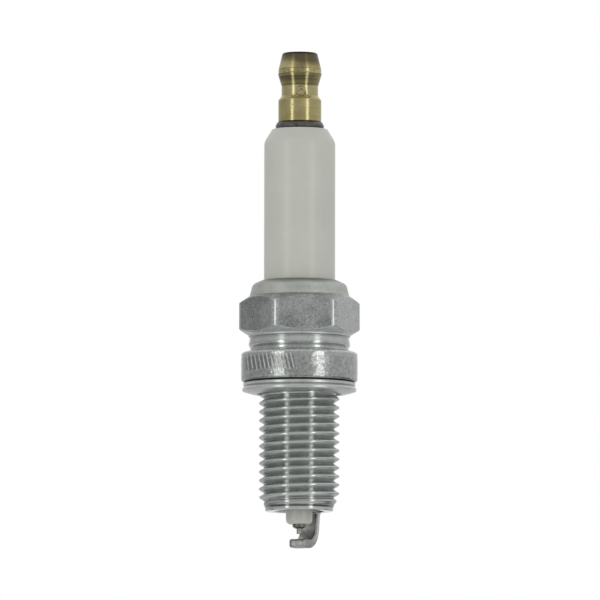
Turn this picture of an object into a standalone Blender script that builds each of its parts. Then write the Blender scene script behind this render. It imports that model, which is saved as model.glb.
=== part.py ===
"""Spark plug with a screw-on terminal nut, modelled as the separate pieces it is assembled from.

Metres, +Z up towards the terminal. The origin lies on the axis, in the plane of the seat gasket's
lower face, where the plug seats on a cylinder head. Two flats of the hexagon face +Y and -Y.
"""
import math

import bmesh
import bpy
from mathutils import Vector

MM = 0.001
TURN = 2 * math.pi
SIXTH = TURN / 6

# Clearance between neighbouring pieces, and how finely round pieces are divided
GAP = 0.06 * MM
WELD = 0.0005 * MM
COLUMNS = 36
SMALL_COLUMNS = 18
STUD_COLUMNS = 14
WIRE_COLUMNS = 24
WIRE_SIDES = 6
SHARP_ANGLE = math.radians(38)
SAME_ANGLE = 1e-9

# Terminal nut, from its foot upwards: base, neck for the cap's spring, barrel, taper to the top
NUT_FOOT_Z = 39.34 * MM
NUT_BASE_RADIUS = 3.14 * MM
NUT_BASE_TOP_Z = 42.58 * MM
NUT_NECK_RADIUS = 2.67 * MM
NUT_NECK_BOTTOM_Z = 43.22 * MM
NUT_NECK_TOP_Z = 44.65 * MM
NUT_BARREL_RADIUS = 3.16 * MM
NUT_BARREL_BOTTOM_Z = 46.35 * MM
NUT_BARREL_TOP_Z = 47.05 * MM
NUT_RIM_RADIUS = 2.60 * MM
NUT_RIM_Z = 49.34 * MM
NUT_TOP_RADIUS = 2.44 * MM
NUT_TOP_Z = 49.52 * MM
NUT_FOOT_CHAMFER = 0.12 * MM
NUT_BORE_RADIUS = 2.08 * MM
NUT_BORE_TOP_Z = 48.20 * MM

# Seal ring under the nut
RING_BOTTOM_Z = 38.47 * MM
RING_TOP_Z = 39.28 * MM
RING_OUTER_RADIUS = 3.53 * MM
RING_ROLL = 0.45 * MM
RING_INNER_RADIUS = 2.14 * MM

# Terminal stud, M4 x 0.7 above the insulator, with a grooved foot in the glass seal
STUD_THREAD_RADIUS = 2.00 * MM
STUD_PITCH = 0.70 * MM
STUD_THREAD_DEPTH = 0.43 * MM
STUD_THREAD_BOTTOM_Z = 38.20 * MM
STUD_TOP_Z = 47.90 * MM
STUD_SHANK_RADIUS = 1.96 * MM
STUD_SHANK_BOTTOM_Z = 14.10 * MM
STUD_FOOT_RADIUS = 1.58 * MM
STUD_FOOT_Z = 10.82 * MM
STUD_GROOVES = 3
STUD_GROOVE_DEPTH = 0.20 * MM
STUD_GROOVE_SLOPE = 0.3

# Insulator, outside
INSULATOR_TOP_Z = 38.41 * MM
INSULATOR_TOP_RADIUS = 4.16 * MM
INSULATOR_TOP_EDGE = 0.32 * MM
SHOULDER_SLOPE_DEGREES = 29
SHOULDER_BEND_RADIUS = 5.00 * MM
SHOULDER_BEND_Z = 36.78 * MM
SHOULDER_FOOT_Z = 35.90 * MM
INSULATOR_RADIUS = 5.18 * MM
COLLAR_STEP_TOP_Z = 8.55 * MM
COLLAR_STEP_BOTTOM_Z = 7.70 * MM
INSULATOR_FLANGE_RADIUS = 6.02 * MM
INSULATOR_FLANGE_BOTTOM_Z = 4.00 * MM
LOWER_BODY_RADIUS = 3.76 * MM
NOSE_ROOT_RADIUS = 2.85 * MM
NOSE_MIDDLE_RADIUS = 2.02 * MM
NOSE_MIDDLE_Z = -14.00 * MM
NOSE_RADIUS = 1.92 * MM
NOSE_END_Z = -19.33 * MM
NOSE_EDGE = 0.66 * MM

# Insulator, bore
BORE_RADIUS = 2.05 * MM
BORE_STEP_Z = -1.00 * MM
ELECTRODE_BORE_RADIUS = 1.03 * MM

# Column of seals inside the insulator
CORE_RADIUS = BORE_RADIUS - GAP
LOWER_SEAL_BOTTOM_Z = -0.38 * MM
LOWER_SEAL_TOP_Z = 2.60 * MM
RESISTOR_TOP_Z = 9.60 * MM
UPPER_SEAL_TOP_Z = 13.70 * MM
SEAL_POCKET_GAP = 0.08 * MM

# Centre electrode, its copper core and its fine tip
ELECTRODE_RADIUS = 0.95 * MM
ELECTRODE_FLANGE_RADIUS = 1.92 * MM
ELECTRODE_FLANGE_TOP_Z = -0.45 * MM
ELECTRODE_STEM_RADIUS = 1.10 * MM
ELECTRODE_STEM_TOP_Z = 0.60 * MM
ELECTRODE_CONE_TOP_Z = -19.70 * MM
ELECTRODE_END_Z = -19.94 * MM
ELECTRODE_END_RADIUS = 0.58 * MM
COPPER_RADIUS = 0.50 * MM
COPPER_END_Z = -16.40 * MM
TIP_RADIUS = 0.365 * MM
TIP_TOP_Z = -19.52 * MM
TIP_END_Z = -20.72 * MM

# Shell collar, rolled over the insulator's packing
LIP_INNER_RADIUS = 5.27 * MM
LIP_INNER_Z = 15.98 * MM
LIP_TOP_RADIUS = 5.50 * MM
LIP_TOP_Z = 16.20 * MM
LIP_CENTRE_RADIUS = 6.10 * MM
LIP_CENTRE_Z = 15.01 * MM
LIP_ROLL = 0.85 * MM
LIP_ROLL_START = 66
LIP_ROLL_END = 15
LIP_ROOM_Z = 14.95 * MM
LIP_UNDERSIDE_Z = 15.66 * MM
COLLAR_FOOT_RADIUS = 7.27 * MM

# Shell hexagon for a 16 mm spanner, with turned chamfers at both ends
HEX_ACROSS_FLATS = 15.60 * MM
HEX_CORNER_RADIUS = 1.20 * MM
HEX_TOP_Z = 13.91 * MM
HEX_BOTTOM_Z = 8.10 * MM
HEX_TOP_RISE = 0.68
HEX_BOTTOM_RISE = 0.55

# Shell thin band and seat flange
BAND_RADIUS = 7.15 * MM
BAND_SWELL_RADIUS = 7.37 * MM
BAND_SWELL_TOP_Z = 6.92 * MM
BAND_SWELL_BOTTOM_Z = 6.58 * MM
BAND_FOOT_RADIUS = 7.11 * MM
BAND_FOOT_Z = 6.06 * MM
FLANGE_RADIUS = 8.48 * MM
FLANGE_TOP_Z = 5.80 * MM
FLANGE_TOP_SLOPE = 18
FLANGE_BOTTOM_Z = 1.38 * MM
FLANGE_EDGE = 0.53 * MM

# Neck between the seat flange and the thread
NECK_RADIUS = 4.80 * MM
NECK_BOTTOM_Z = -0.45 * MM

# Shell thread, M12 x 1.25 right-hand, 19 mm reach
THREAD_CREST_RADIUS = 5.86 * MM
THREAD_ROOT_RADIUS = 5.07 * MM
THREAD_PITCH = 1.25 * MM
THREAD_TOP_Z = -0.60 * MM
THREAD_BOTTOM_Z = -16.65 * MM
THREAD_FIRST_CREST_Z = -1.72 * MM
THREAD_FIRST_CREST_ANGLE = math.radians(174)
CREST_SHARE = 1 / 8
ROOT_SHARE = 1 / 6
PILOT_RADIUS = 5.03 * MM
PILOT_STEP = 0.12 * MM
PILOT_FOOT_RADIUS = 5.00 * MM
PILOT_FOOT_Z = -17.26 * MM
SHELL_END_RADIUS = 4.82 * MM
SHELL_END_Z = -17.45 * MM

# Shell bore: packing room, body bore, ledge that carries the insulator, end bore
PACKING_BORE_RADIUS = 6.11 * MM
PACKING_BORE_BOTTOM_Z = 3.60 * MM
BODY_BORE_RADIUS = 3.86 * MM
BODY_BORE_TOP_Z = 1.40 * MM
SEAT_TOP_Z = -5.70 * MM
LEDGE_RADIUS = 3.05 * MM
LEDGE_HEIGHT = 0.60 * MM
END_BORE_RADIUS = 3.40 * MM
END_BORE_FLARE = 0.25 * MM

# Packing between the insulator and the shell
PACKING_WIRE_RADIUS = 0.39 * MM
PACKING_RING_RADIUS = 5.64 * MM
UPPER_WIRE_Z = 14.92 * MM
LOWER_WIRE_Z = 9.15 * MM
WASHER_THICKNESS = 0.36 * MM
SEAT_ROOM = WASHER_THICKNESS + 2 * GAP

# Seat gasket: two folded lobes, and an inner lip with tabs that keeps it on the neck
GASKET_TOP_Z = 1.32 * MM
GASKET_FOLD_Z = 0.70 * MM
GASKET_UPPER_RADIUS = 8.18 * MM
GASKET_LOWER_RADIUS = 8.32 * MM
GASKET_FOLD_RADIUS = 8.00 * MM
GASKET_INNER_RADIUS = 6.15 * MM
GASKET_EDGE = 0.20 * MM
GASKET_FACE_RADIUS = 5.98 * MM
GASKET_LIP_RADIUS = 5.30 * MM
GASKET_LIP_BOTTOM_Z = 0.16 * MM
GASKET_LIP_TOP_Z = 0.42 * MM
TAB_RADIUS = 5.02 * MM
TAB_COUNT = 3
TAB_HALF_ANGLE = math.radians(12)

# Ground strap, welded to the shell's end face and bent under the tip
STRAP_ANGLE = math.radians(60)
STRAP_WIDTH = 2.60 * MM
STRAP_THICKNESS = 1.27 * MM
STRAP_EDGE = 0.36 * MM
STRAP_OUTER_RADIUS = 4.79 * MM
STRAP_LEAN = math.radians(8)
STRAP_BEND_RADIUS = 2.70 * MM
STRAP_BEND_STEPS = 8
STRAP_REACH = 0.95 * MM
SPARK_GAP = 0.74 * MM


def clear_scene():
    """Remove every object that the file holds before the model is made."""
    for item in list(bpy.data.objects):
        bpy.data.objects.remove(item, do_unlink=True)


def make_material(name, colour, roughness, metallic):
    """A Principled material with one base colour."""
    material = bpy.data.materials.new(name)
    material.use_nodes = True
    shader = material.node_tree.nodes["Principled BSDF"]
    shader.inputs["Base Color"].default_value = (*colour, 1.0)
    shader.inputs["Roughness"].default_value = roughness
    shader.inputs["Metallic"].default_value = metallic
    return material


def add_piece(name, body, finish):
    """Weld a bmesh into one closed, smooth-shaded object with its own material."""
    bmesh.ops.remove_doubles(body, verts=body.verts[:], dist=WELD)
    loose = [edge for edge in body.edges if not edge.link_faces]
    bmesh.ops.delete(body, geom=loose, context="EDGES")
    bmesh.ops.recalc_face_normals(body, faces=body.faces[:])
    mesh = bpy.data.meshes.new(name)
    body.to_mesh(mesh)
    body.free()
    mesh.shade_smooth()
    mesh.set_sharp_from_angle(angle=SHARP_ANGLE)
    mesh.materials.append(make_material(name, *finish))
    piece = bpy.data.objects.new(name, mesh)
    bpy.context.scene.collection.objects.link(piece)
    return piece


def arc(centre_radius, centre_z, size, start, end, steps):
    """Points (radius, z) along an arc, with angles in degrees from the outward direction."""
    points = []
    for step in range(steps + 1):
        angle = math.radians(start + (end - start) * step / steps)
        points.append((centre_radius + size * math.cos(angle), centre_z + size * math.sin(angle)))
    return points


def turned(outline, columns=COLUMNS):
    """Spin an outline of (radius, z) points round Z. Off the axis it closes on itself as a ring."""
    body = bmesh.new()
    points = [body.verts.new((radius, 0.0, z)) for radius, z in outline]
    pairs = list(zip(points, points[1:]))
    if outline[0][0] > 0.0 or outline[-1][0] > 0.0:
        pairs.append((points[-1], points[0]))
    edges = [body.edges.new(pair) for pair in pairs]
    bmesh.ops.spin(
        body, geom=points + edges, cent=(0, 0, 0), axis=(0, 0, 1),
        angle=TURN, steps=columns, use_merge=True,
    )
    return body


def skinned(outline_at, angles):
    """Skin a closed outline that changes with the angle round Z. The last column lands on the first."""
    body = bmesh.new()
    columns = []
    for angle in angles + [angles[0] + TURN]:
        across = Vector((math.cos(angle), math.sin(angle), 0.0))
        outline = outline_at(angle)
        columns.append([body.verts.new(across * radius + Vector((0.0, 0.0, z))) for radius, z in outline])
    for left, right in zip(columns, columns[1:]):
        for here in range(len(left)):
            below = (here + 1) % len(left)
            body.faces.new((left[here], left[below], right[below], right[here]))
    return body


def even_angles(count):
    """Angles spread evenly round the axis."""
    return [TURN * step / count for step in range(count)]


def thread_outline(angle, top, bottom, pitch, crest, root, first_crest, first_angle):
    """Points (radius, z) of a right-hand thread at one angle, from its top end down.

    Each turn gives both ends of its crest and both ends of its root. Points past an end gather on
    that end, and the crests fade into the root over the last pitch, so the thread runs out.
    """
    points = []
    turns = math.ceil((top - bottom) / pitch) + 2
    for turn in range(-2, turns):
        middle = first_crest + pitch * ((angle - first_angle) / TURN - turn)
        crest_half = CREST_SHARE / 2
        root_half = ROOT_SHARE / 2
        for share in (-crest_half, crest_half, 0.5 - root_half, 0.5 + root_half):
            z = min(max(middle - share * pitch, bottom), top)
            fade = min(top - z, z - bottom) / pitch
            height = crest - root if abs(share) == crest_half else 0.0
            points.append((root + height * min(fade, 1.0), z))
    return points


def nut_body():
    """Brass terminal: closed top, blind bore for the stud, waist for the cap's spring."""
    outline = [
        (0.0, NUT_TOP_Z),
        (NUT_TOP_RADIUS, NUT_TOP_Z),
        (NUT_RIM_RADIUS, NUT_RIM_Z),
        (NUT_BARREL_RADIUS, NUT_BARREL_TOP_Z),
        (NUT_BARREL_RADIUS, NUT_BARREL_BOTTOM_Z),
        (NUT_NECK_RADIUS, NUT_NECK_TOP_Z),
        (NUT_NECK_RADIUS, NUT_NECK_BOTTOM_Z),
        (NUT_BASE_RADIUS, NUT_BASE_TOP_Z),
        (NUT_BASE_RADIUS, NUT_FOOT_Z + NUT_FOOT_CHAMFER),
        (NUT_BASE_RADIUS - NUT_FOOT_CHAMFER, NUT_FOOT_Z),
        (NUT_BORE_RADIUS, NUT_FOOT_Z),
        (NUT_BORE_RADIUS, NUT_BORE_TOP_Z),
        (0.0, NUT_BORE_TOP_Z),
    ]
    return turned(outline)


def seal_ring_body():
    """Ring with a skirt that flares downwards, pressed between the nut and the insulator."""
    outline = [
        (RING_INNER_RADIUS, RING_TOP_Z),
        *arc(RING_OUTER_RADIUS - RING_ROLL, RING_TOP_Z - RING_ROLL, RING_ROLL, 90, -50, 7),
        (RING_INNER_RADIUS, RING_BOTTOM_Z),
    ]
    return turned(outline)


def stud_outline(angle):
    """Stud at one angle: threaded end, plain shank, grooved foot."""
    root = STUD_THREAD_RADIUS - STUD_THREAD_DEPTH
    groove = (STUD_SHANK_BOTTOM_Z - STUD_FOOT_Z) / (2 * STUD_GROOVES + 2)
    foot = []
    for step in range(STUD_GROOVES):
        z = STUD_SHANK_BOTTOM_Z - groove * (2 * step + 1.5)
        foot += [
            (STUD_FOOT_RADIUS, z),
            (STUD_FOOT_RADIUS - STUD_GROOVE_DEPTH, z - groove * STUD_GROOVE_SLOPE),
            (STUD_FOOT_RADIUS - STUD_GROOVE_DEPTH, z - groove * (1 - STUD_GROOVE_SLOPE)),
            (STUD_FOOT_RADIUS, z - groove),
        ]
    return [
        (0.0, STUD_TOP_Z),
        *thread_outline(
            angle, STUD_TOP_Z, STUD_THREAD_BOTTOM_Z, STUD_PITCH, STUD_THREAD_RADIUS, root,
            STUD_TOP_Z, 0.0,
        ),
        (STUD_SHANK_RADIUS, STUD_THREAD_BOTTOM_Z),
        (STUD_SHANK_RADIUS, STUD_SHANK_BOTTOM_Z),
        (STUD_FOOT_RADIUS, STUD_SHANK_BOTTOM_Z),
        *foot,
        (STUD_FOOT_RADIUS, STUD_FOOT_Z),
        (0.0, STUD_FOOT_Z),
    ]


def seat_z(radius):
    """Height of the shell's 45 degree seat, which carries the insulator, at a radius."""
    return SEAT_TOP_Z - (BODY_BORE_RADIUS - radius)


def insulator_body():
    """Ceramic body from the top shoulder to the firing nose, with a stepped bore."""
    flange_foot_z = INSULATOR_FLANGE_BOTTOM_Z - (INSULATOR_FLANGE_RADIUS - LOWER_BODY_RADIUS)
    outline = [
        (BORE_RADIUS, INSULATOR_TOP_Z),
        *arc(
            INSULATOR_TOP_RADIUS - INSULATOR_TOP_EDGE, INSULATOR_TOP_Z - INSULATOR_TOP_EDGE,
            INSULATOR_TOP_EDGE, 90, SHOULDER_SLOPE_DEGREES, 3,
        ),
        (SHOULDER_BEND_RADIUS, SHOULDER_BEND_Z),
        ((SHOULDER_BEND_RADIUS + 2 * INSULATOR_RADIUS) / 3, (SHOULDER_BEND_Z + SHOULDER_FOOT_Z) / 2),
        (INSULATOR_RADIUS, SHOULDER_FOOT_Z),
        (INSULATOR_RADIUS, COLLAR_STEP_TOP_Z),
        (INSULATOR_FLANGE_RADIUS, COLLAR_STEP_BOTTOM_Z),
        (INSULATOR_FLANGE_RADIUS, INSULATOR_FLANGE_BOTTOM_Z),
        (LOWER_BODY_RADIUS, flange_foot_z),
        (LOWER_BODY_RADIUS, seat_z(LOWER_BODY_RADIUS) + SEAT_ROOM),
        (NOSE_ROOT_RADIUS, seat_z(NOSE_ROOT_RADIUS) + SEAT_ROOM),
        (NOSE_MIDDLE_RADIUS, NOSE_MIDDLE_Z),
        *arc(NOSE_RADIUS - NOSE_EDGE, NOSE_END_Z + NOSE_EDGE, NOSE_EDGE, 0, -90, 4),
        (ELECTRODE_BORE_RADIUS, NOSE_END_Z),
        (ELECTRODE_BORE_RADIUS, BORE_STEP_Z),
        (BORE_RADIUS, BORE_STEP_Z),
    ]
    return turned(outline)


def upper_seal_body():
    """Conductive glass with a pocket for the foot of the stud."""
    bottom = RESISTOR_TOP_Z + GAP
    pocket = STUD_FOOT_RADIUS + SEAL_POCKET_GAP
    outline = [
        (0.0, bottom),
        (CORE_RADIUS, bottom),
        (CORE_RADIUS, UPPER_SEAL_TOP_Z),
        (pocket, UPPER_SEAL_TOP_Z),
        (pocket, STUD_FOOT_Z - SEAL_POCKET_GAP),
        (0.0, STUD_FOOT_Z - SEAL_POCKET_GAP),
    ]
    return turned(outline, SMALL_COLUMNS)


def resistor_body():
    """Suppressor element, a plain rod between the two glass seals."""
    bottom = LOWER_SEAL_TOP_Z + GAP
    outline = [(0.0, bottom), (CORE_RADIUS, bottom), (CORE_RADIUS, RESISTOR_TOP_Z), (0.0, RESISTOR_TOP_Z)]
    return turned(outline, SMALL_COLUMNS)


def lower_seal_body():
    """Conductive glass with a pocket for the head of the centre electrode."""
    pocket = ELECTRODE_STEM_RADIUS + SEAL_POCKET_GAP
    pocket_top = ELECTRODE_STEM_TOP_Z + SEAL_POCKET_GAP
    outline = [
        (0.0, pocket_top),
        (pocket, pocket_top),
        (pocket, LOWER_SEAL_BOTTOM_Z),
        (CORE_RADIUS, LOWER_SEAL_BOTTOM_Z),
        (CORE_RADIUS, LOWER_SEAL_TOP_Z),
        (0.0, LOWER_SEAL_TOP_Z),
    ]
    return turned(outline, SMALL_COLUMNS)


def electrode_body():
    """Nickel electrode: flanged head, bore for the copper core, cone end with a socket for the tip."""
    copper_bore = COPPER_RADIUS + GAP
    tip_bore = TIP_RADIUS + GAP
    outline = [
        (0.0, COPPER_END_Z - GAP),
        (copper_bore, COPPER_END_Z - GAP),
        (copper_bore, ELECTRODE_STEM_TOP_Z),
        (ELECTRODE_STEM_RADIUS, ELECTRODE_STEM_TOP_Z),
        (ELECTRODE_STEM_RADIUS, ELECTRODE_FLANGE_TOP_Z),
        (ELECTRODE_FLANGE_RADIUS, ELECTRODE_FLANGE_TOP_Z),
        (ELECTRODE_FLANGE_RADIUS, BORE_STEP_Z + GAP),
        (ELECTRODE_RADIUS, BORE_STEP_Z + GAP),
        (ELECTRODE_RADIUS, ELECTRODE_CONE_TOP_Z),
        (ELECTRODE_END_RADIUS, ELECTRODE_END_Z),
        (tip_bore, ELECTRODE_END_Z),
        (tip_bore, TIP_TOP_Z + GAP),
        (0.0, TIP_TOP_Z + GAP),
    ]
    return turned(outline, SMALL_COLUMNS)


def rod_body(radius, bottom, top):
    """Plain round rod."""
    return turned([(0.0, bottom), (radius, bottom), (radius, top), (0.0, top)], SMALL_COLUMNS)


def hex_radius(angle):
    """Distance from the axis to the side of the hexagon, whose corners are rounded."""
    from_corner = abs((angle + SIXTH / 2) % SIXTH - SIXTH / 2)
    if from_corner >= hex_tangent_angle() - SAME_ANGLE:
        return HEX_ACROSS_FLATS / 2 / math.cos(SIXTH / 2 - from_corner)
    centre = hex_corner_centre()
    rise = centre * math.sin(from_corner)
    return centre * math.cos(from_corner) + math.sqrt(HEX_CORNER_RADIUS ** 2 - rise ** 2)


def hex_corner_centre():
    """Distance from the axis to the centre of a corner's rounding."""
    return (HEX_ACROSS_FLATS / 2 - HEX_CORNER_RADIUS) / math.cos(SIXTH / 2)


def hex_tangent_angle():
    """Angle from a corner to the point where its rounding meets the flat."""
    along = hex_corner_centre() + HEX_CORNER_RADIUS * math.cos(SIXTH / 2)
    return math.atan2(HEX_CORNER_RADIUS * math.sin(SIXTH / 2), along)


def shell_angles():
    """Columns of the shell: the corner, both ends of its rounding and the flat's quarters, six times."""
    angles = []
    tangent = hex_tangent_angle()
    side = SIXTH - 2 * tangent
    for corner in even_angles(6):
        angles.append(corner)
        angles += [corner + tangent + side * quarter / 4 for quarter in range(5)]
    return angles


def shell_outline(angle):
    """Shell at one angle: collar, hexagon, band, flange, thread and pilot outside, then the bore."""
    side = hex_radius(angle)
    top_chamfer_z = HEX_TOP_Z - HEX_TOP_RISE * (side - COLLAR_FOOT_RADIUS)
    bottom_chamfer_z = HEX_BOTTOM_Z + HEX_BOTTOM_RISE * (side - BAND_RADIUS)
    flange_core = FLANGE_RADIUS - FLANGE_EDGE
    wall = PACKING_BORE_RADIUS
    return [
        (LIP_INNER_RADIUS, LIP_INNER_Z),
        (LIP_TOP_RADIUS, LIP_TOP_Z),
        *arc(LIP_CENTRE_RADIUS, LIP_CENTRE_Z, LIP_ROLL, LIP_ROLL_START, LIP_ROLL_END, 4),
        (COLLAR_FOOT_RADIUS, HEX_TOP_Z),
        (side, top_chamfer_z),
        (side, bottom_chamfer_z),
        (BAND_RADIUS, HEX_BOTTOM_Z),
        (BAND_SWELL_RADIUS, BAND_SWELL_TOP_Z),
        (BAND_SWELL_RADIUS, BAND_SWELL_BOTTOM_Z),
        (BAND_FOOT_RADIUS, BAND_FOOT_Z),
        *arc(flange_core, FLANGE_TOP_Z - FLANGE_EDGE, FLANGE_EDGE, 90 - FLANGE_TOP_SLOPE, 0, 3),
        *arc(flange_core, FLANGE_BOTTOM_Z + FLANGE_EDGE, FLANGE_EDGE, 0, -90, 3),
        (NECK_RADIUS, FLANGE_BOTTOM_Z),
        (NECK_RADIUS, NECK_BOTTOM_Z),
        *thread_outline(
            angle, THREAD_TOP_Z, THREAD_BOTTOM_Z, THREAD_PITCH, THREAD_CREST_RADIUS, THREAD_ROOT_RADIUS,
            THREAD_FIRST_CREST_Z, THREAD_FIRST_CREST_ANGLE,
        ),
        (PILOT_RADIUS, THREAD_BOTTOM_Z - PILOT_STEP),
        (PILOT_FOOT_RADIUS, PILOT_FOOT_Z),
        (SHELL_END_RADIUS, SHELL_END_Z),
        (END_BORE_RADIUS + END_BORE_FLARE, SHELL_END_Z),
        (END_BORE_RADIUS, SHELL_END_Z + END_BORE_FLARE),
        (END_BORE_RADIUS, seat_z(LEDGE_RADIUS) - LEDGE_HEIGHT),
        (LEDGE_RADIUS, seat_z(LEDGE_RADIUS) - LEDGE_HEIGHT / 2),
        (LEDGE_RADIUS, seat_z(LEDGE_RADIUS)),
        (BODY_BORE_RADIUS, SEAT_TOP_Z),
        (BODY_BORE_RADIUS, BODY_BORE_TOP_Z),
        (wall, PACKING_BORE_BOTTOM_Z),
        (wall, LIP_ROOM_Z),
        *arc(LIP_INNER_RADIUS, LIP_ROOM_Z, wall - LIP_INNER_RADIUS, 30, 60, 1),
        (LIP_INNER_RADIUS, LIP_UNDERSIDE_Z),
    ]


def packing_ring_body(z):
    """Steel wire ring in the room between the insulator and the shell."""
    wire = arc(PACKING_RING_RADIUS, z, PACKING_WIRE_RADIUS, 0, 360, WIRE_SIDES)
    return turned(wire[:-1], WIRE_COLUMNS)


def talc_body():
    """Pressed powder ring that fills the room between the two wire rings."""
    inner = INSULATOR_RADIUS + GAP
    outer = PACKING_BORE_RADIUS - GAP
    bottom = LOWER_WIRE_Z + PACKING_WIRE_RADIUS + GAP
    top = UPPER_WIRE_Z - PACKING_WIRE_RADIUS - GAP
    return turned([(inner, top), (outer, top), (outer, bottom), (inner, bottom)])


def washer_body():
    """Conical washer between the shell's seat and the insulator's."""
    inner = LEDGE_RADIUS + GAP
    outer = BODY_BORE_RADIUS - 2 * GAP
    lower = GAP
    upper = GAP + WASHER_THICKNESS
    outline = [
        (inner, seat_z(inner) + upper),
        (outer, seat_z(outer) + upper),
        (outer, seat_z(outer) + lower),
        (inner, seat_z(inner) + lower),
    ]
    return turned(outline)


def gasket_outline(angle):
    """Folded gasket at one angle, with an inner tab where one of them is."""
    spacing = TURN / TAB_COUNT
    from_tab = abs((angle + spacing / 2) % spacing - spacing / 2)
    inside = TAB_RADIUS if from_tab < TAB_HALF_ANGLE else GASKET_LIP_RADIUS
    upper_half = (GASKET_TOP_Z - GASKET_FOLD_Z) / 2
    lower_half = GASKET_FOLD_Z / 2
    return [
        (GASKET_INNER_RADIUS + GASKET_EDGE, GASKET_TOP_Z),
        *arc(GASKET_UPPER_RADIUS - upper_half, GASKET_FOLD_Z + upper_half, upper_half, 90, -50, 4),
        (GASKET_FOLD_RADIUS, GASKET_FOLD_Z),
        *arc(GASKET_LOWER_RADIUS - lower_half, lower_half, lower_half, 50, -90, 4),
        (GASKET_FACE_RADIUS, 0.0),
        (inside, GASKET_LIP_BOTTOM_Z),
        (inside, GASKET_LIP_TOP_Z),
        (GASKET_INNER_RADIUS, GASKET_LIP_TOP_Z),
        (GASKET_INNER_RADIUS, GASKET_TOP_Z - GASKET_EDGE),
    ]


def strap_section(inset):
    """Corners (across, through) of the strap's bar with bevelled edges, drawn in by an inset."""
    across = STRAP_WIDTH / 2 - inset
    through = STRAP_THICKNESS / 2 - inset
    edge = STRAP_EDGE
    return [
        (across - edge, through), (across, through - edge),
        (across, edge - through), (across - edge, -through),
        (edge - across, -through), (-across, edge - through),
        (-across, through - edge), (edge - across, through),
    ]


def strap_stations():
    """Places along the strap: distance out from the axis, z, heading, and how far the section is inset.

    The heading is the angle that the bar has turned, from straight down to straight in. The leg
    leans in a little from its weld before the bend starts.
    """
    out = STRAP_OUTER_RADIUS - STRAP_THICKNESS / 2
    top_z = SHELL_END_Z - GAP
    foot_z = TIP_END_Z - SPARK_GAP - STRAP_THICKNESS / 2
    bend_z = foot_z + STRAP_BEND_RADIUS
    leg_drop = top_z - (bend_z - STRAP_BEND_RADIUS * math.sin(STRAP_LEAN))
    leg_foot = out - leg_drop * math.tan(STRAP_LEAN)
    bend_out = leg_foot - STRAP_BEND_RADIUS * math.cos(STRAP_LEAN)
    stations = [(out, top_z, 0.0, 0.0)]
    for step in range(STRAP_BEND_STEPS + 1):
        heading = STRAP_LEAN + (math.pi / 2 - STRAP_LEAN) * step / STRAP_BEND_STEPS
        place = bend_out + STRAP_BEND_RADIUS * math.cos(heading)
        height = bend_z - STRAP_BEND_RADIUS * math.sin(heading)
        stations.append((place, height, heading, 0.0))
    stations.append((STRAP_EDGE - STRAP_REACH, foot_z, math.pi / 2, 0.0))
    stations.append((-STRAP_REACH, foot_z, math.pi / 2, STRAP_EDGE / 2))
    return stations


def strap_body():
    """Ground strap: one bar swept down from the shell's end and in under the tip."""
    body = bmesh.new()
    outward = Vector((math.cos(STRAP_ANGLE), math.sin(STRAP_ANGLE), 0.0))
    sideways = Vector((-math.sin(STRAP_ANGLE), math.cos(STRAP_ANGLE), 0.0))
    up = Vector((0.0, 0.0, 1.0))
    rings = []
    for place, z, heading, inset in strap_stations():
        outer_side = outward * math.cos(heading) - up * math.sin(heading)
        centre = outward * place + up * z
        section = strap_section(inset)
        rings.append([body.verts.new(centre + sideways * a + outer_side * t) for a, t in section])
    for here, ahead in zip(rings, rings[1:]):
        for corner in range(len(here)):
            after = (corner + 1) % len(here)
            body.faces.new((here[corner], here[after], ahead[after], ahead[corner]))
    body.faces.new(rings[0])
    body.faces.new(rings[-1])
    return body


# Colour, roughness and metallic value of each material
BRASS = ((0.42, 0.34, 0.13), 0.28, 1.0)
BLACK_RUBBER = ((0.03, 0.03, 0.03), 0.55, 0.0)
PLAIN_STEEL = ((0.42, 0.42, 0.42), 0.40, 1.0)
GLAZED_CERAMIC = ((0.62, 0.63, 0.57), 0.22, 0.0)
SEAL_GLASS = ((0.10, 0.09, 0.08), 0.45, 0.0)
RESISTOR_BLACK = ((0.04, 0.04, 0.04), 0.70, 0.0)
NICKEL = ((0.46, 0.45, 0.42), 0.35, 1.0)
COPPER = ((0.72, 0.33, 0.20), 0.35, 1.0)
IRIDIUM = ((0.60, 0.60, 0.60), 0.30, 1.0)
ZINC_PLATE = ((0.52, 0.54, 0.52), 0.34, 1.0)
TALC = ((0.75, 0.74, 0.70), 0.90, 0.0)


def build():
    """Make every piece of the plug."""
    clear_scene()
    add_piece("terminal_nut", nut_body(), BRASS)
    add_piece("terminal_seal_ring", seal_ring_body(), BLACK_RUBBER)
    add_piece("terminal_stud", skinned(stud_outline, even_angles(STUD_COLUMNS)), PLAIN_STEEL)
    add_piece("insulator", insulator_body(), GLAZED_CERAMIC)
    add_piece("upper_glass_seal", upper_seal_body(), SEAL_GLASS)
    add_piece("resistor", resistor_body(), RESISTOR_BLACK)
    add_piece("lower_glass_seal", lower_seal_body(), SEAL_GLASS)
    add_piece("center_electrode", electrode_body(), NICKEL)
    copper_top = ELECTRODE_STEM_TOP_Z - GAP
    add_piece("electrode_copper_core", rod_body(COPPER_RADIUS, COPPER_END_Z, copper_top), COPPER)
    add_piece("iridium_tip", rod_body(TIP_RADIUS, TIP_END_Z, TIP_TOP_Z), IRIDIUM)
    add_piece("shell", skinned(shell_outline, shell_angles()), ZINC_PLATE)
    add_piece("upper_packing_ring", packing_ring_body(UPPER_WIRE_Z), PLAIN_STEEL)
    add_piece("talc_packing", talc_body(), TALC)
    add_piece("lower_packing_ring", packing_ring_body(LOWER_WIRE_Z), PLAIN_STEEL)
    add_piece("inner_seat_washer", washer_body(), PLAIN_STEEL)
    add_piece("seat_gasket", skinned(gasket_outline, even_angles(COLUMNS)), ZINC_PLATE)
    add_piece("ground_strap", strap_body(), NICKEL)


build()
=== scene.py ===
import math
from functools import reduce

import bmesh
import bpy
from mathutils import Matrix, Vector, noise


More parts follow.
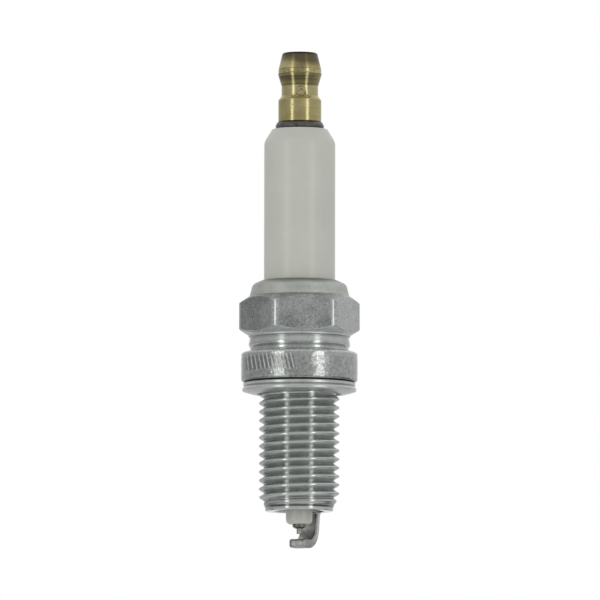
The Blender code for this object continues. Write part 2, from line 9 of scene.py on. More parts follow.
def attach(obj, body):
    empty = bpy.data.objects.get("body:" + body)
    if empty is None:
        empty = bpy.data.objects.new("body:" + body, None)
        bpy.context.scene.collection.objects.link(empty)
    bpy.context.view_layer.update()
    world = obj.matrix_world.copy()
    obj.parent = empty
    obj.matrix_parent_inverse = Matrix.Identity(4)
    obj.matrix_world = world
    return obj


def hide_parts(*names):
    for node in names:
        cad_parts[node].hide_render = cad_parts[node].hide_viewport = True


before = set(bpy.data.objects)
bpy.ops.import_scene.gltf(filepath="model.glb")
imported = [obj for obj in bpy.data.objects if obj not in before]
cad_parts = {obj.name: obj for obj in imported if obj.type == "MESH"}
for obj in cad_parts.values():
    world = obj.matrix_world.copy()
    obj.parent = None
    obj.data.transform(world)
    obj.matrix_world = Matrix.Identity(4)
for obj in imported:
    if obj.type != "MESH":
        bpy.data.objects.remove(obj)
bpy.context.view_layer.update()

MM = 0.001
TURN = 2 * math.pi
SIXTH = TURN / 6

# Where the photograph was taken from, and its scale
VIEW_AZIMUTH = math.radians(-6)
VIEW_ELEVATION = math.radians(-5)
VIEW_ROLL = math.radians(0.1)
VIEW_DISTANCE = 1.5
VIEW_AIM = Vector((0.075, 0.0, 13.40)) * MM
FRAME_WIDTH = 87.34 * MM
SENSOR = 36.0

# Directions seen from the photograph's side: towards the camera and to its right
FRONT = Vector((math.sin(VIEW_AZIMUTH), -math.cos(VIEW_AZIMUTH), 0.0))
RIGHT = Vector((math.cos(VIEW_AZIMUTH), math.sin(VIEW_AZIMUTH), 0.0))
UP = Vector((0.0, 0.0, 1.0))

# Main sizes of the shell in millimetres, heights above the gasket's sealing plane
HEX_ACROSS_FLATS = 15.60
HEX_CORNER_RADIUS = 1.20
HEX_ROUND_ANGLE = math.radians(3.9)
HEX_TOP_Z = 13.91
HEX_BOTTOM_Z = 8.10
HEX_CHAMFER_RISE = 0.68
HEX_UNDER_RISE = 0.55
COLLAR_FOOT_RADIUS = 7.27
BAND_RADIUS = 7.15
BAND_TOP_Z = 7.90
BAND_BOTTOM_Z = 6.04
FLANGE_RADIUS = 8.48
FLANGE_SHOULDER_Z = 5.10
FLANGE_UNDER_Z = 1.30
THREAD_CREST = 5.86
THREAD_ROOT = 5.07
THREAD_PITCH = 1.25
THREAD_TOP_Z = -0.05
THREAD_NECK = 5.40
THREAD_BOTTOM_Z = -16.65
THREAD_FIRST_CREST_Z = -1.72
THREAD_FIRST_ANGLE = math.radians(174)
THREAD_START = 0.5

# Section of a thread: shares of the pitch from the crest, with the round crest and the round root
THREAD_SHARES = (0.0, 0.035, 0.07, 0.10, 0.13, 0.20, 0.28, 0.36, 0.42, 0.46)
CREST_SHARE = 0.13
CREST_DROP = 0.12
ROOT_SHARE = 0.42
ROOT_RISE = 0.10
SPARE_TURNS = 2

# Ridges rolled into the flange: place across the view, height and section
STROKE_COUNT = 12
STROKE_FIRST = -7.50
STROKE_LAST = -1.05
STROKE_BOTTOM_Z = 2.75
STROKE_TOP_Z = 5.05
STROKE_LEAN = 0.55
STROKE_SECTION = ((-0.12, -0.06), (-0.09, 0.04), (-0.04, 0.085), (0.04, 0.085), (0.09, 0.04), (0.12, -0.06))

# Thread of the terminal stud
STUD_ROOT = 1.57
STUD_CREST = 2.00
STUD_PITCH = 0.70
STUD_TOP_Z = 47.90
STUD_THREAD_BOTTOM_Z = 38.20


def fillet(corners, closed, steps=5):
    """Round the corners (radius, z, fillet) of an outline, with the same number of points at every angle."""
    points = []
    count = len(corners)
    for here in range(count):
        r, z, size = corners[here]
        ends_here = not closed and here in (0, count - 1)
        if size <= 0 or ends_here:
            points.append((r, z))
            continue
        corner = Vector((r, z))
        before = Vector(corners[here - 1][:2]) - corner
        after = Vector(corners[(here + 1) % count][:2]) - corner
        reach = min(before.length, after.length) * 0.48
        half = before.angle(after) / 2
        run = min(size / math.tan(half), reach)
        start = corner + before.normalized() * run
        end = corner + after.normalized() * run
        for step in range(steps + 1):
            t = step / steps
            bend = start.lerp(corner, t).lerp(corner.lerp(end, t), t)
            points.append((bend.x, bend.y))
    return points


def skin(name, outline_at, angles, closed=True):
    """Mesh whose outline (radius, z in mm) can change with the angle, given at angles from 0 to a full turn."""
    rows = [outline_at(angle) for angle in angles]
    length = len(rows[0])
    body = bmesh.new()
    grid = []
    for angle, row in zip(angles, rows):
        across, along = math.cos(angle) * MM, math.sin(angle) * MM
        grid.append([body.verts.new((across * r, along * r, z * MM)) for r, z in row])
    last = length if closed else length - 1
    for left, right in zip(grid, grid[1:]):
        for here in range(last):
            below = (here + 1) % length
            body.faces.new((left[here], left[below], right[below], right[here]))
    bmesh.ops.remove_doubles(body, verts=body.verts[:], dist=0.0004 * MM)
    bmesh.ops.dissolve_degenerate(body, edges=body.edges[:], dist=0.0002 * MM)
    return finish_mesh(name, body)


def finish_mesh(name, body, sharp=40):
    """Turn a bmesh into a smooth object in the scene."""
    bmesh.ops.recalc_face_normals(body, faces=body.faces[:])
    mesh = bpy.data.meshes.new(name)
    body.to_mesh(mesh)
    body.free()
    mesh.shade_smooth()
    mesh.set_sharp_from_angle(angle=math.radians(sharp))
    piece = bpy.data.objects.new(name, mesh)
    bpy.context.scene.collection.objects.link(piece)
    return piece


def even(columns):
    """Evenly spaced angles over a full turn, both ends included."""
    return [TURN * step / columns for step in range(columns + 1)]


def lathe(name, corners, columns, closed=False, shape=None, steps=5):
    """Turned piece from an outline of (radius, z, fillet) corners; shape may move single points."""
    outline = fillet(corners, closed, steps)
    if shape is None:
        return skin(name, lambda angle: outline, even(columns), closed)
    return skin(name, lambda angle: [shape(r, z, angle) for r, z in outline], even(columns), closed)


def subdivide(corners, spacing, low, high):
    """Add points along the straight runs between two heights, so that a shape function has something to move."""
    points = []
    for (r0, z0, size), (r1, z1, _) in zip(corners, corners[1:]):
        points.append((r0, z0, size))
        inside = low < min(z0, z1) and max(z0, z1) < high
        count = int(math.hypot(r1 - r0, z1 - z0) / spacing) if inside else 1
        for step in range(1, count):
            t = step / count
            points.append((r0 + (r1 - r0) * t, z0 + (z1 - z0) * t, 0.0))
    points.append(corners[-1])
    return points


def soft_step(x, low, high):
    """Smooth ramp from 0 at low to 1 at high."""
    t = min(max((x - low) / (high - low), 0.0), 1.0)
    return t * t * (3 - 2 * t)


def thread_height(share):
    """Height of the thread, from 0 at the root to 1 at the crest, at a share of the pitch from the crest."""
    if share <= CREST_SHARE:
        return 1.0 - CREST_DROP * (share / CREST_SHARE) ** 2
    if share >= ROOT_SHARE:
        return ROOT_RISE * ((0.5 - share) / (0.5 - ROOT_SHARE)) ** 2
    down = (share - CREST_SHARE) / (ROOT_SHARE - CREST_SHARE)
    return 1.0 - CREST_DROP - (1.0 - CREST_DROP - ROOT_RISE) * down


def thread_rows(angle, top, bottom, pitch, crest, root, first_z, first_angle, start=1.0, neck=None):
    """Points of a right-hand thread with rounded crests and roots, running out at both ends, at the top into a neck."""
    shares = [-0.5] + [-share for share in reversed(THREAD_SHARES[1:])] + list(THREAD_SHARES)
    points = []
    turns = math.ceil((top - bottom) / pitch)
    for turn in range(-SPARE_TURNS, turns + SPARE_TURNS):
        middle = first_z + pitch * ((angle - first_angle) / TURN - turn)
        for share in shares:
            z = min(max(middle - share * pitch, bottom), top)
            height = thread_height(abs(share))
            fade = min(max(min((top - z) / start, z - bottom) / pitch, 0.0), 1.0)
            foot = root if neck is None else neck + (root - neck) * min((top - z) / pitch, 1.0)
            points.append((foot + (crest - foot) * height * fade, z))
    return points


def hex_side(angle):
    """Distance in mm from the axis to the side of the hexagon with rounded corners."""
    centre = (HEX_ACROSS_FLATS / 2 - HEX_CORNER_RADIUS) / math.cos(SIXTH / 2)
    along = centre + HEX_CORNER_RADIUS * math.cos(SIXTH / 2)
    tangent = math.atan2(HEX_CORNER_RADIUS * math.sin(SIXTH / 2), along)
    from_corner = abs((angle + SIXTH / 2) % SIXTH - SIXTH / 2)
    if from_corner >= tangent:
        return HEX_ACROSS_FLATS / 2 / math.cos(SIXTH / 2 - from_corner)
    rise = centre * math.sin(from_corner)
    return centre * math.cos(from_corner) + math.sqrt(HEX_CORNER_RADIUS ** 2 - rise ** 2)


def shell_rows(angle):
    """Outside of the shell from the rolled lip down to the pilot, then its bore back up."""
    side = hex_side(angle)
    chamfer_top = HEX_TOP_Z - HEX_CHAMFER_RISE * (side - COLLAR_FOOT_RADIUS)
    chamfer_bottom = HEX_BOTTOM_Z + HEX_UNDER_RISE * (side - BAND_RADIUS)
    upper = [
        (5.27, 15.98, 0.10), (5.50, 16.20, 0.14), (6.82, 15.62, 0.85), (COLLAR_FOOT_RADIUS, HEX_TOP_Z, 0.12),
        (side, chamfer_top, 0.16), (side, chamfer_bottom, 0.30), (7.42, 8.20, 0.05), (7.40, 7.98, 0.06),
        (7.22, 7.86, 0.06), (7.43, 6.72, 1.00), (7.17, 6.30, 0.05), (7.16, 5.98, 0.06),
        (FLANGE_RADIUS, 5.60, 0.50), (FLANGE_RADIUS, 1.38, 0.55),
        (4.80, 1.38, 0.10), (4.80, 0.12, 0.05), (THREAD_NECK, THREAD_TOP_Z + 0.02, 0.0),
    ]
    lower = [
        (THREAD_ROOT, THREAD_BOTTOM_Z - 0.01, 0.0), (5.07, -16.68, 0.02), (4.95, -16.98, 0.03), (4.97, -17.12, 0.04),
        (5.00, -17.26, 0.06), (4.82, -17.45, 0.08), (3.65, -17.45, 0.10),
        (3.40, -17.20, 0.10), (3.40, -7.11, 0.1), (3.05, -6.81, 0.05), (3.05, -6.51, 0.05), (3.86, -5.70, 0.05),
        (3.86, 1.40, 0.1), (6.11, 3.60, 0.1), (6.11, 14.95, 0.3), (5.69, 15.68, 0.2), (5.27, 15.66, 0.05),
    ]
    return [
        *fillet([lower[-1]] + upper, False)[1:],
        *thread_rows(angle, THREAD_TOP_Z, THREAD_BOTTOM_Z, THREAD_PITCH, THREAD_CREST, THREAD_ROOT,
                     THREAD_FIRST_CREST_Z, THREAD_FIRST_ANGLE, THREAD_START, THREAD_NECK),
        *fillet(lower + [upper[0]], False)[:-1],
    ]


def shell_angles():
    """Angles round the shell, closer together at the hexagon's corners than on its flats."""
    near_corner = [math.radians(0.6 * step) for step in range(8)]
    half_sixth = near_corner + [math.radians(5.6 + 2.44 * step) for step in range(11)]
    angles = {round(SIXTH * corner + turn, 6) for corner in range(6) for turn in half_sixth}
    angles |= {round(SIXTH * (corner + 1) - turn, 6) for corner in range(6) for turn in half_sixth}
    return sorted(angle for angle in angles if angle < TURN - 0.001) + [TURN]


shell = skin("shell_fine", shell_rows, shell_angles())

nut_corners = [
    (0.0, 49.55, 0.0), (2.44, 49.52, 0.10), (2.60, 49.34, 0.10), (3.13, 47.08, 0.30), (3.13, 46.60, 0.06),
    (3.18, 46.47, 0.05), (3.18, 46.33, 0.05), (2.67, 44.66, 0.10), (2.67, 43.22, 0.14), (3.14, 42.58, 0.12),
    (3.14, 39.46, 0.06), (3.03, 39.34, 0.04), (2.08, 39.34, 0.10), (2.08, 48.20, 0.10), (0.0, 48.20, 0.0),
]

# Punch mark in the front of the terminal's neck, and the slot under it
STAKE_ANGLE = VIEW_AZIMUTH - math.pi / 2 + math.radians(4)
STAKE_Z = 42.98
STAKE_HALF_WIDTH = 0.60
STAKE_HEIGHT = 1.22
STAKE_CURVE = 2.4
STAKE_DEPTH = 0.11
STAKE_SLOPE = 0.04
STAKE_RIM = 0.13
SLOT_HALF_LENGTH = 1.45
SLOT_HALF_HEIGHT = 0.24
SLOT_DEPTH = 0.16
NECK_LOW_Z = 42.4
NECK_HIGH_Z = 45.2
NECK_SPACING = 0.07


def staked(r, z, angle):
    """Half-round punch mark pressed into the front of the neck, over a short slot."""
    if r < 2.4 or not NECK_LOW_Z < z < NECK_HIGH_Z:
        return r, z
    turn = (angle - STAKE_ANGLE + math.pi) % TURN - math.pi
    side = r * math.sin(turn)
    if abs(turn) > 1.2:
        return r, z
    up = z - STAKE_Z
    slot = soft_step(SLOT_HALF_LENGTH - abs(side), 0.0, 0.35) * soft_step(SLOT_HALF_HEIGHT - abs(up), 0.0, 0.12)
    reach = abs(side / STAKE_HALF_WIDTH) ** STAKE_CURVE + (max(up, 0.0) / STAKE_HEIGHT) ** STAKE_CURVE
    reach **= 1 / STAKE_CURVE
    dent = soft_step(1.0 - reach, 0.0, 0.22) * soft_step(up, -0.05, 0.10)
    rim = soft_step(0.20 - abs(reach - 1.04), 0.0, 0.18) * soft_step(up, 0.0, 0.2)
    floor = min(max(up, 0.0) / 1.25, 1.0)
    return r - SLOT_DEPTH * slot - dent * (STAKE_DEPTH - STAKE_SLOPE * floor) + STAKE_RIM * rim, z


nut = lathe(
    "terminal_nut_fine", subdivide(nut_corners, NECK_SPACING, NECK_LOW_Z - 0.1, NECK_HIGH_Z), 360, shape=staked,
)

SQUEEZE_LIFT = 0.20
SQUEEZE_DRAW = 0.10


def squeezed(r, z, angle):
    """Rubber squeezed up round the nut's foot, more at the sides than in front."""
    share = (math.cos(angle) * RIGHT.x + math.sin(angle) * RIGHT.y) ** 2
    lift = SQUEEZE_LIFT * share * soft_step(r, 3.14, 3.26) * soft_step(z, 38.80, 39.10)
    draw = SQUEEZE_DRAW * share * soft_step(r, 3.20, 3.40) * soft_step(z, 38.85, 39.15)
    return r - draw, z + lift


ring = lathe("terminal_seal_ring_fine", [
    (2.14, 39.28, 0.05), (3.10, 39.28, 0.20), (3.40, 39.12, 0.25), (3.53, 38.82, 0.22), (3.51, 38.52, 0.20),
    (3.28, 38.40, 0.08), (2.14, 38.40, 0.05),
], 120, closed=True, shape=squeezed)

NOSE_ROUND = 0.66
nose_corner = [
    (1.92 - NOSE_ROUND * (1 - math.cos(turn)), -19.33 + NOSE_ROUND * (1 - math.sin(turn)), 0.0)
    for turn in (math.pi / 2 * step / 8 for step in range(9))
]
insulator = lathe("insulator_fine", [
    (2.05, 38.34, 0.10), (4.03, 38.34, 0.26), (5.18, 36.46, 1.9), (5.18, 8.55, 0.2), (6.02, 7.70, 0.2),
    (6.02, 4.00, 0.3), (3.76, 1.74, 0.2), (3.76, -5.38, 0.2), (2.85, -6.29, 0.3), (2.02, -14.0, 3.0),
    *nose_corner, (1.03, -19.33, 0.06), (1.03, -1.00, 0.05), (2.05, -1.00, 0.05),
], 192, closed=True, steps=8)


def stud_rows(angle):
    """Stud at one angle: rounded M4 thread, plain shank and grooved foot."""
    foot = []
    for step in range(3):
        top = 13.5 - 0.82 * step
        foot += [(1.58, top, 0.03), (1.40, top - 0.12, 0.03), (1.40, top - 0.29, 0.03), (1.58, top - 0.41, 0.03)]
    lower = [
        (STUD_ROOT, STUD_THREAD_BOTTOM_Z - 0.01, 0.0), (1.96, 38.05, 0.05), (1.96, 14.10, 0.10), (1.58, 14.10, 0.05),
        *foot, (1.58, 10.82, 0.15), (0.0, 10.82, 0.0),
    ]
    return [
        (0.0, STUD_TOP_Z), (1.30, STUD_TOP_Z),
        *thread_rows(angle, STUD_TOP_Z - 0.15, STUD_THREAD_BOTTOM_Z, STUD_PITCH, STUD_CREST, STUD_ROOT,
                     STUD_TOP_Z, 0.0),
        *fillet(lower, False),
    ]


stud = skin("terminal_stud_fine", stud_rows, even(96), closed=False)

gasket_corners = [
    (6.35, 1.32, 0.10), (8.18, 1.32, 0.36), (8.17, 0.84, 0.12), (7.96, 0.72, 0.03), (8.17, 0.60, 0.10),
    (8.32, 0.40, 0.20), (8.30, 0.05, 0.20), (7.30, -0.24, 0.50), (6.75, -0.36, 0.30), (6.20, -0.36, 0.08),
]


def gasket_rows(angle):
    """Folded gasket with an inner lip, three tabs and an underside that is rounder than the solid's flat."""
    spacing = TURN / 3
    from_tab = abs((angle + spacing / 2) % spacing - spacing / 2)
    inside = 5.30 - 0.28 * soft_step(math.radians(13) - from_tab, 0.0, math.radians(2))
    lip = [(6.10, 0.02, 0.04), (inside, 0.16, 0.05), (inside, 0.42, 0.05), (6.15, 0.42, 0.05), (6.15, 1.12, 0.05)]
    wave = 0.012 * math.sin(3 * angle + 0.6) + 0.008 * math.sin(7 * angle)
    moved = [(r + (wave if 0.3 < z < 1.1 else 0.0), z, f) for r, z, f in gasket_corners]
    return fillet(moved + lip, True)


gasket = skin("seat_gasket_fine", gasket_rows, even(240))

electrode = lathe("center_electrode_fine", [
    (0.0, -16.46, 0.0), (0.56, -16.46, 0.05), (0.56, 0.60, 0.05), (1.10, 0.60, 0.08), (1.10, -0.45, 0.05),
    (1.92, -0.45, 0.08), (1.92, -0.94, 0.08), (0.95, -0.94, 0.05), (0.95, -19.70, 0.07), (0.58, -19.94, 0.05),
    (0.425, -19.94, 0.02), (0.425, -19.46, 0.02), (0.0, -19.46, 0.0),
], 72)

TIP_END_Z = -20.72
tip = lathe("iridium_tip_fine", [
    (0.0, -19.52, 0.0), (0.365, -19.52, 0.03), (0.365, TIP_END_Z, 0.05), (0.0, TIP_END_Z, 0.0),
], 48)

# Ground strap: a bar with rounded edges, swept down from the shell's end and in under the tip
STRAP_ANGLE = math.radians(60)
STRAP_WIDTH = 2.60
STRAP_THICKNESS = 1.27
STRAP_EDGE = 0.32
STRAP_OUTER = 4.79
STRAP_LEAN = math.radians(8)
STRAP_BEND = 2.70
STRAP_REACH = 0.95
STRAP_TOP_Z = -17.51
SPARK_GAP = 0.74
STRAP_FOOT_Z = TIP_END_Z - SPARK_GAP - STRAP_THICKNESS / 2
STRAP_END = 0.55
STRAP_STEPS = 7
STRAP_OUT = Vector((math.cos(STRAP_ANGLE), math.sin(STRAP_ANGLE), 0.0))
STRAP_SIDE = Vector((-math.sin(STRAP_ANGLE), math.cos(STRAP_ANGLE), 0.0))


def strap_ring(inset):
    """Rounded section of the bar, drawn in by an inset."""
    across = STRAP_WIDTH / 2 - inset
    through = STRAP_THICKNESS / 2 - inset
    round_edge = max(min(STRAP_EDGE, through * 0.9), 0.02)
    corners = [(across, through), (across, -through), (-across, -through), (-across, through)]
    return fillet([(a, t, round_edge) for a, t in corners], True, STRAP_STEPS - 1)


def strap_path():
    """Stations along the bar: place out from the axis, z, heading and inset."""
    out = STRAP_OUTER - STRAP_THICKNESS / 2
    bend_z = STRAP_FOOT_Z + STRAP_BEND
    drop = STRAP_TOP_Z - (bend_z - STRAP_BEND * math.sin(STRAP_LEAN))
    foot = out - drop * math.tan(STRAP_LEAN)
    bend_out = foot - STRAP_BEND * math.cos(STRAP_LEAN)
    stations = [(out, STRAP_TOP_Z, 0.0, 0.0)]
    for step in range(1, 9):
        t = step / 9
        stations.append((out + (foot - out) * t, STRAP_TOP_Z - drop * t, STRAP_LEAN * min(t * 2, 1.0), 0.0))
    for step in range(29):
        heading = STRAP_LEAN + (math.pi / 2 - STRAP_LEAN) * step / 28
        stations.append((
            bend_out + STRAP_BEND * math.cos(heading), bend_z - STRAP_BEND * math.sin(heading), heading, 0.0,
        ))
    straight_end = STRAP_END - STRAP_REACH
    for step in range(1, 9):
        stations.append((bend_out + (straight_end - bend_out) * step / 8, STRAP_FOOT_Z, math.pi / 2, 0.0))
    for step in range(1, 9):
        turn = math.pi / 2 * step / 8
        stations.append((
            straight_end - STRAP_END * math.sin(turn), STRAP_FOOT_Z, math.pi / 2,
            STRAP_END * (1 - math.cos(turn)) * 0.92,
        ))
    return stations


def sweep_strap():
    """Sweep the section along the path, with the small unevenness of a bent and welded bar."""
    body = bmesh.new()
    rings = []
    for place, z, heading, inset in strap_path():
        outer = STRAP_OUT * math.cos(heading) - UP * math.sin(heading)
        centre = STRAP_OUT * place + UP * z
        ring_points = []
        for a, t in strap_ring(inset):
            point = centre + STRAP_SIDE * a + outer * t
            wobble = 0.02 * noise.noise(point * 1.3) if z < STRAP_TOP_Z - 0.2 else 0.0
            ring_points.append(body.verts.new((point + outer * wobble) * MM))
        rings.append(ring_points)
    for here, ahead in zip(rings, rings[1:]):
        for corner in range(len(here)):
            after = (corner + 1) % len(here)
            face = body.faces.new((here[corner], here[after], ahead[after], ahead[corner]))
            face.material_index = 1 if after % STRAP_STEPS else 0
    body.faces.new(rings[0])
    body.faces.new(rings[-1])
    return finish_mesh("ground_strap_fine", body)


strap = sweep_strap()


def weld_bead():
    """Lumpy bead of metal squeezed out round the top of the strap when it was welded on."""
    body = bmesh.new()
    section = strap_ring(-0.02)
    sides = 10
    rings = []
    for a, t in section:
        foot = STRAP_OUT * (STRAP_OUTER - STRAP_THICKNESS / 2 + t) + STRAP_SIDE * a + UP * (STRAP_TOP_Z + 0.03)
        away = (STRAP_OUT * t + STRAP_SIDE * a).normalized()
        size = 0.13 + 0.07 * noise.noise(foot * 2.1)
        rings.append([
            body.verts.new((foot + away * size * math.cos(TURN * k / sides) * 0.8
                            + UP * size * math.sin(TURN * k / sides)) * MM)
            for k in range(sides)
        ])
    for step in range(len(rings)):
        here, ahead = rings[step], rings[(step + 1) % len(rings)]
        for k in range(sides):
            after = (k + 1) % sides
            body.faces.new((here[k], here[after], ahead[after], ahead[k]))
    return finish_mesh("ground_strap_weld", body, 80)


weld = weld_bead()


def flange_strokes():
    """Row of short slanted ridges rolled into the left front of the flange, evenly spaced as seen from the front."""
    body = bmesh.new()
    for index in range(STROKE_COUNT):
        across_view = STROKE_FIRST + (STROKE_LAST - STROKE_FIRST) * index / (STROKE_COUNT - 1)
        angle = VIEW_AZIMUTH - math.pi / 2 + math.asin(across_view / FLANGE_RADIUS)
        low = STROKE_BOTTOM_Z + 0.14 * math.sin(2.4 * index)
        high = STROKE_TOP_Z + 0.10 * math.sin(1.7 * index + 1)
        proud = 0.80 + 0.20 * math.sin(3.9 * index)
        rows = []
        steps = 12
        for step in range(steps + 1):
            t = step / steps
            z = low + (high - low) * t
            middle = angle - STROKE_LEAN * (t - 0.5) / FLANGE_RADIUS
            swell = math.sin(math.pi * min(max(t, 0.03), 0.97)) ** 0.3
            row = []
            for across, lift in STROKE_SECTION:
                radius = FLANGE_RADIUS + lift * swell * proud - 0.01
                turn = middle + across / FLANGE_RADIUS
                row.append(body.verts.new((radius * math.cos(turn) * MM, radius * math.sin(turn) * MM, z * MM)))
            rows.append(row)
        for here, ahead in zip(rows, rows[1:]):
            for k in range(len(STROKE_SECTION)):
                after = (k + 1) % len(STROKE_SECTION)
                body.faces.new((here[k], here[after], ahead[after], ahead[k]))
        body.faces.new(rows[0])
        body.faces.new(rows[-1])
    return finish_mesh("flange_strokes", body, 60)


strokes = flange_strokes()


class Nodes:
    """Small helper that lays out one node tree."""

    def __init__(self, tree, coordinates):
        self.tree = tree
        self.place = self.node("ShaderNodeTexCoord").outputs[coordinates]

    def node(self, kind, **values):
        """Add a node and set the named properties."""
        made = self.tree.nodes.new(kind)
        for key, value in values.items():
            setattr(made, key, value)
        return made

    def link(self, source, target):
        """Join two sockets."""
        self.tree.links.new(source, target)

    def join(self, slots, values):
        """Set slots to numbers and colours, or join them to sockets."""
        for slot, value in zip(slots, values):
            if isinstance(value, (int, float)):
                slot.default_value = value
            elif isinstance(value, tuple):
                slot.default_value = (*value, 1.0)
            else:
                self.link(value, slot)

    def dot(self, direction):
        """How far the coordinates reach along a direction."""
        made = self.node("ShaderNodeVectorMath", operation="DOT_PRODUCT")
        made.inputs[1].default_value = direction
        self.link(self.place, made.inputs[0])
        return made.outputs["Value"]

    def math(self, operation, first, second=0.0, clamp=False):
        """One step of arithmetic on sockets or numbers."""
        made = self.node("ShaderNodeMath", operation=operation, use_clamp=clamp)
        self.join(made.inputs, (first, second))
        return made.outputs[0]

    def ramp(self, source, stops, smooth=True):
        """Colours or grey values along a source from 0 to 1."""
        made = self.node("ShaderNodeValToRGB")
        band = made.color_ramp
        band.interpolation = "EASE" if smooth else "LINEAR"
        while len(band.elements) < len(stops):
            band.elements.new(0.5)
        for element, (place, colour) in zip(band.elements, stops):
            element.position = place
            shade = (colour,) * 3 if isinstance(colour, (int, float)) else colour
            element.color = (*shade, 1.0)
        self.link(source, made.inputs["Fac"])
        return made.outputs["Color"]

    def mix(self, factor, first, second, blend="MIX", clamp=False):
        """Blend two colours, given as sockets or tuples."""
        made = self.node("ShaderNodeMix", data_type="RGBA", blend_type=blend, clamp_result=clamp)
        colours = [slot for slot in made.inputs if slot.type == "RGBA"]
        self.join([made.inputs[0], *colours], (factor, first, second))
        return [slot for slot in made.outputs if slot.type == "RGBA"][0]


class Paint(Nodes):
    """Node tree of one material, with lengths in millimetres."""

    def __init__(self, name):
        self.material = bpy.data.materials.new(name)
        self.material.use_nodes = True
        super().__init__(self.material.node_tree, "Object")
        self.shader = self.tree.nodes["Principled BSDF"]

    def scaled(self, scale):
        """The piece's own coordinates, stretched along each axis."""
        mapping = self.node("ShaderNodeMapping")
        mapping.inputs["Scale"].default_value = scale
        self.link(self.place, mapping.inputs["Vector"])
        return mapping.outputs["Vector"]

    def noise(self, scale, detail, stretch=(1, 1, 1), roughness=0.55, distortion=0.0):
        """Noise from 0 to 1 over the piece."""
        made = self.node("ShaderNodeTexNoise")
        made.inputs["Scale"].default_value = scale
        made.inputs["Detail"].default_value = detail
        made.inputs["Roughness"].default_value = roughness
        made.inputs["Distortion"].default_value = distortion
        self.link(self.scaled(stretch), made.inputs["Vector"])
        return made.outputs["Fac"]

    def along(self, direction):
        """Distance along a direction."""
        return self.dot(direction / MM)

    def radius(self):
        """Distance from the axis."""
        made = self.node("ShaderNodeVectorMath", operation="LENGTH")
        self.link(self.scaled((1 / MM, 1 / MM, 0.0)), made.inputs[0])
        return made.outputs["Value"]

    def height(self):
        """Height along the axis."""
        split = self.node("ShaderNodeSeparateXYZ")
        self.link(self.place, split.inputs["Vector"])
        return self.math("MULTIPLY", split.outputs["Z"], 1 / MM)

    def chain(self, operation, *values):
        """The same arithmetic on one value after another."""
        return reduce(lambda left, right: self.math(operation, left, right), values)

    def span(self, source, low, high, start=0.0, end=1.0):
        """Map a range of a source onto another range, clamped."""
        made = self.node("ShaderNodeMapRange", clamp=True)
        for key, value in (("From Min", low), ("From Max", high), ("To Min", start), ("To Max", end)):
            made.inputs[key].default_value = value
        self.link(source, made.inputs["Value"])
        return made.outputs["Result"]

    def band(self, source, rise, fall, amount=1.0):
        """An amount between two soft edges of a source, and nothing outside."""
        return self.math("MULTIPLY", self.span(source, *rise), self.span(source, *fall, amount, 0.0))

    def near(self, source, middle, inner, outer, amount=1.0):
        """An amount where a source is near a value, fading out between two distances from it."""
        away = self.math("ABSOLUTE", self.math("SUBTRACT", source, middle))
        return self.span(away, inner, outer, amount, 0.0)

    def bump(self, source, strength, distance, under=None):
        """Surface relief, its distance in metres."""
        made = self.node("ShaderNodeBump")
        made.inputs["Strength"].default_value = strength
        made.inputs["Distance"].default_value = distance
        self.link(source, made.inputs["Height"])
        if under is not None:
            self.link(under, made.inputs["Normal"])
        return made.outputs["Normal"]

    def turned(self, amount):
        """Stretch the gloss along the axis, as fine marks round a turned piece do."""
        tangent = self.node("ShaderNodeTangent", direction_type="RADIAL", axis="Z")
        self.link(tangent.outputs["Tangent"], self.shader.inputs["Tangent"])
        self.shader.inputs["Anisotropic"].default_value = amount
        self.shader.inputs["Anisotropic Rotation"].default_value = 0.25

    def finish(self, colour, roughness=None, normal=None, **values):
        """Join what varies to the shader and set what doesn't."""
        for key, value in values.items():
            self.shader.inputs[key.replace("_", " ")].default_value = value
        self.link(colour, self.shader.inputs["Base Color"])
        if roughness is not None:
            self.link(roughness, self.shader.inputs["Roughness"])
        if normal is not None:
            self.link(normal, self.shader.inputs["Normal"])
        return self.material


# Zinc plate: ramps from dull to bright, painted shade, and a painted sheen
FORGED_MOTTLE = [(0.32, (0.13, 0.145, 0.14)), (0.50, (0.32, 0.338, 0.333)), (0.70, (0.61, 0.632, 0.618))]
FORGED_BLOTCH = [(0.34, (0.22, 0.24, 0.24)), (0.66, (0.50, 0.515, 0.505))]
SPANNER_MOTTLE = [(0.32, (0.42, 0.44, 0.43)), (0.50, (0.62, 0.64, 0.63)), (0.70, (0.80, 0.82, 0.805))]
TURNED_DULL = (0.47, 0.495, 0.48)
TURNED_BRIGHT = (0.58, 0.60, 0.585)
TURNED_PITS = [(0.3, (0.34, 0.36, 0.35)), (0.7, (0.70, 0.72, 0.70))]
TURNED_LINES = [(0.35, (0.36, 0.38, 0.37)), (0.65, (0.64, 0.66, 0.64))]
TURNED_PAINTED_SHADE = (0.13, 0.14, 0.135)
STAMPED_MOTTLE = [(0.30, (0.26, 0.275, 0.265)), (0.52, (0.445, 0.465, 0.45)), (0.70, (0.64, 0.66, 0.645))]
STAMPED_GAP_SHADE = (0.13, 0.135, 0.13)
STAMPED_SHEEN = (0.56, 0.58, 0.565)
UNDER_FLANGE_SHADE = (0.05, 0.05, 0.05)

# The flats that a spanner rubbed, by their direction and their distance from the axis
SPANNER_DIRECTION = Vector((math.cos(SIXTH / 2), -math.sin(SIXTH / 2), 0.0))
SPANNER_FLAT = (7.70, 7.78)
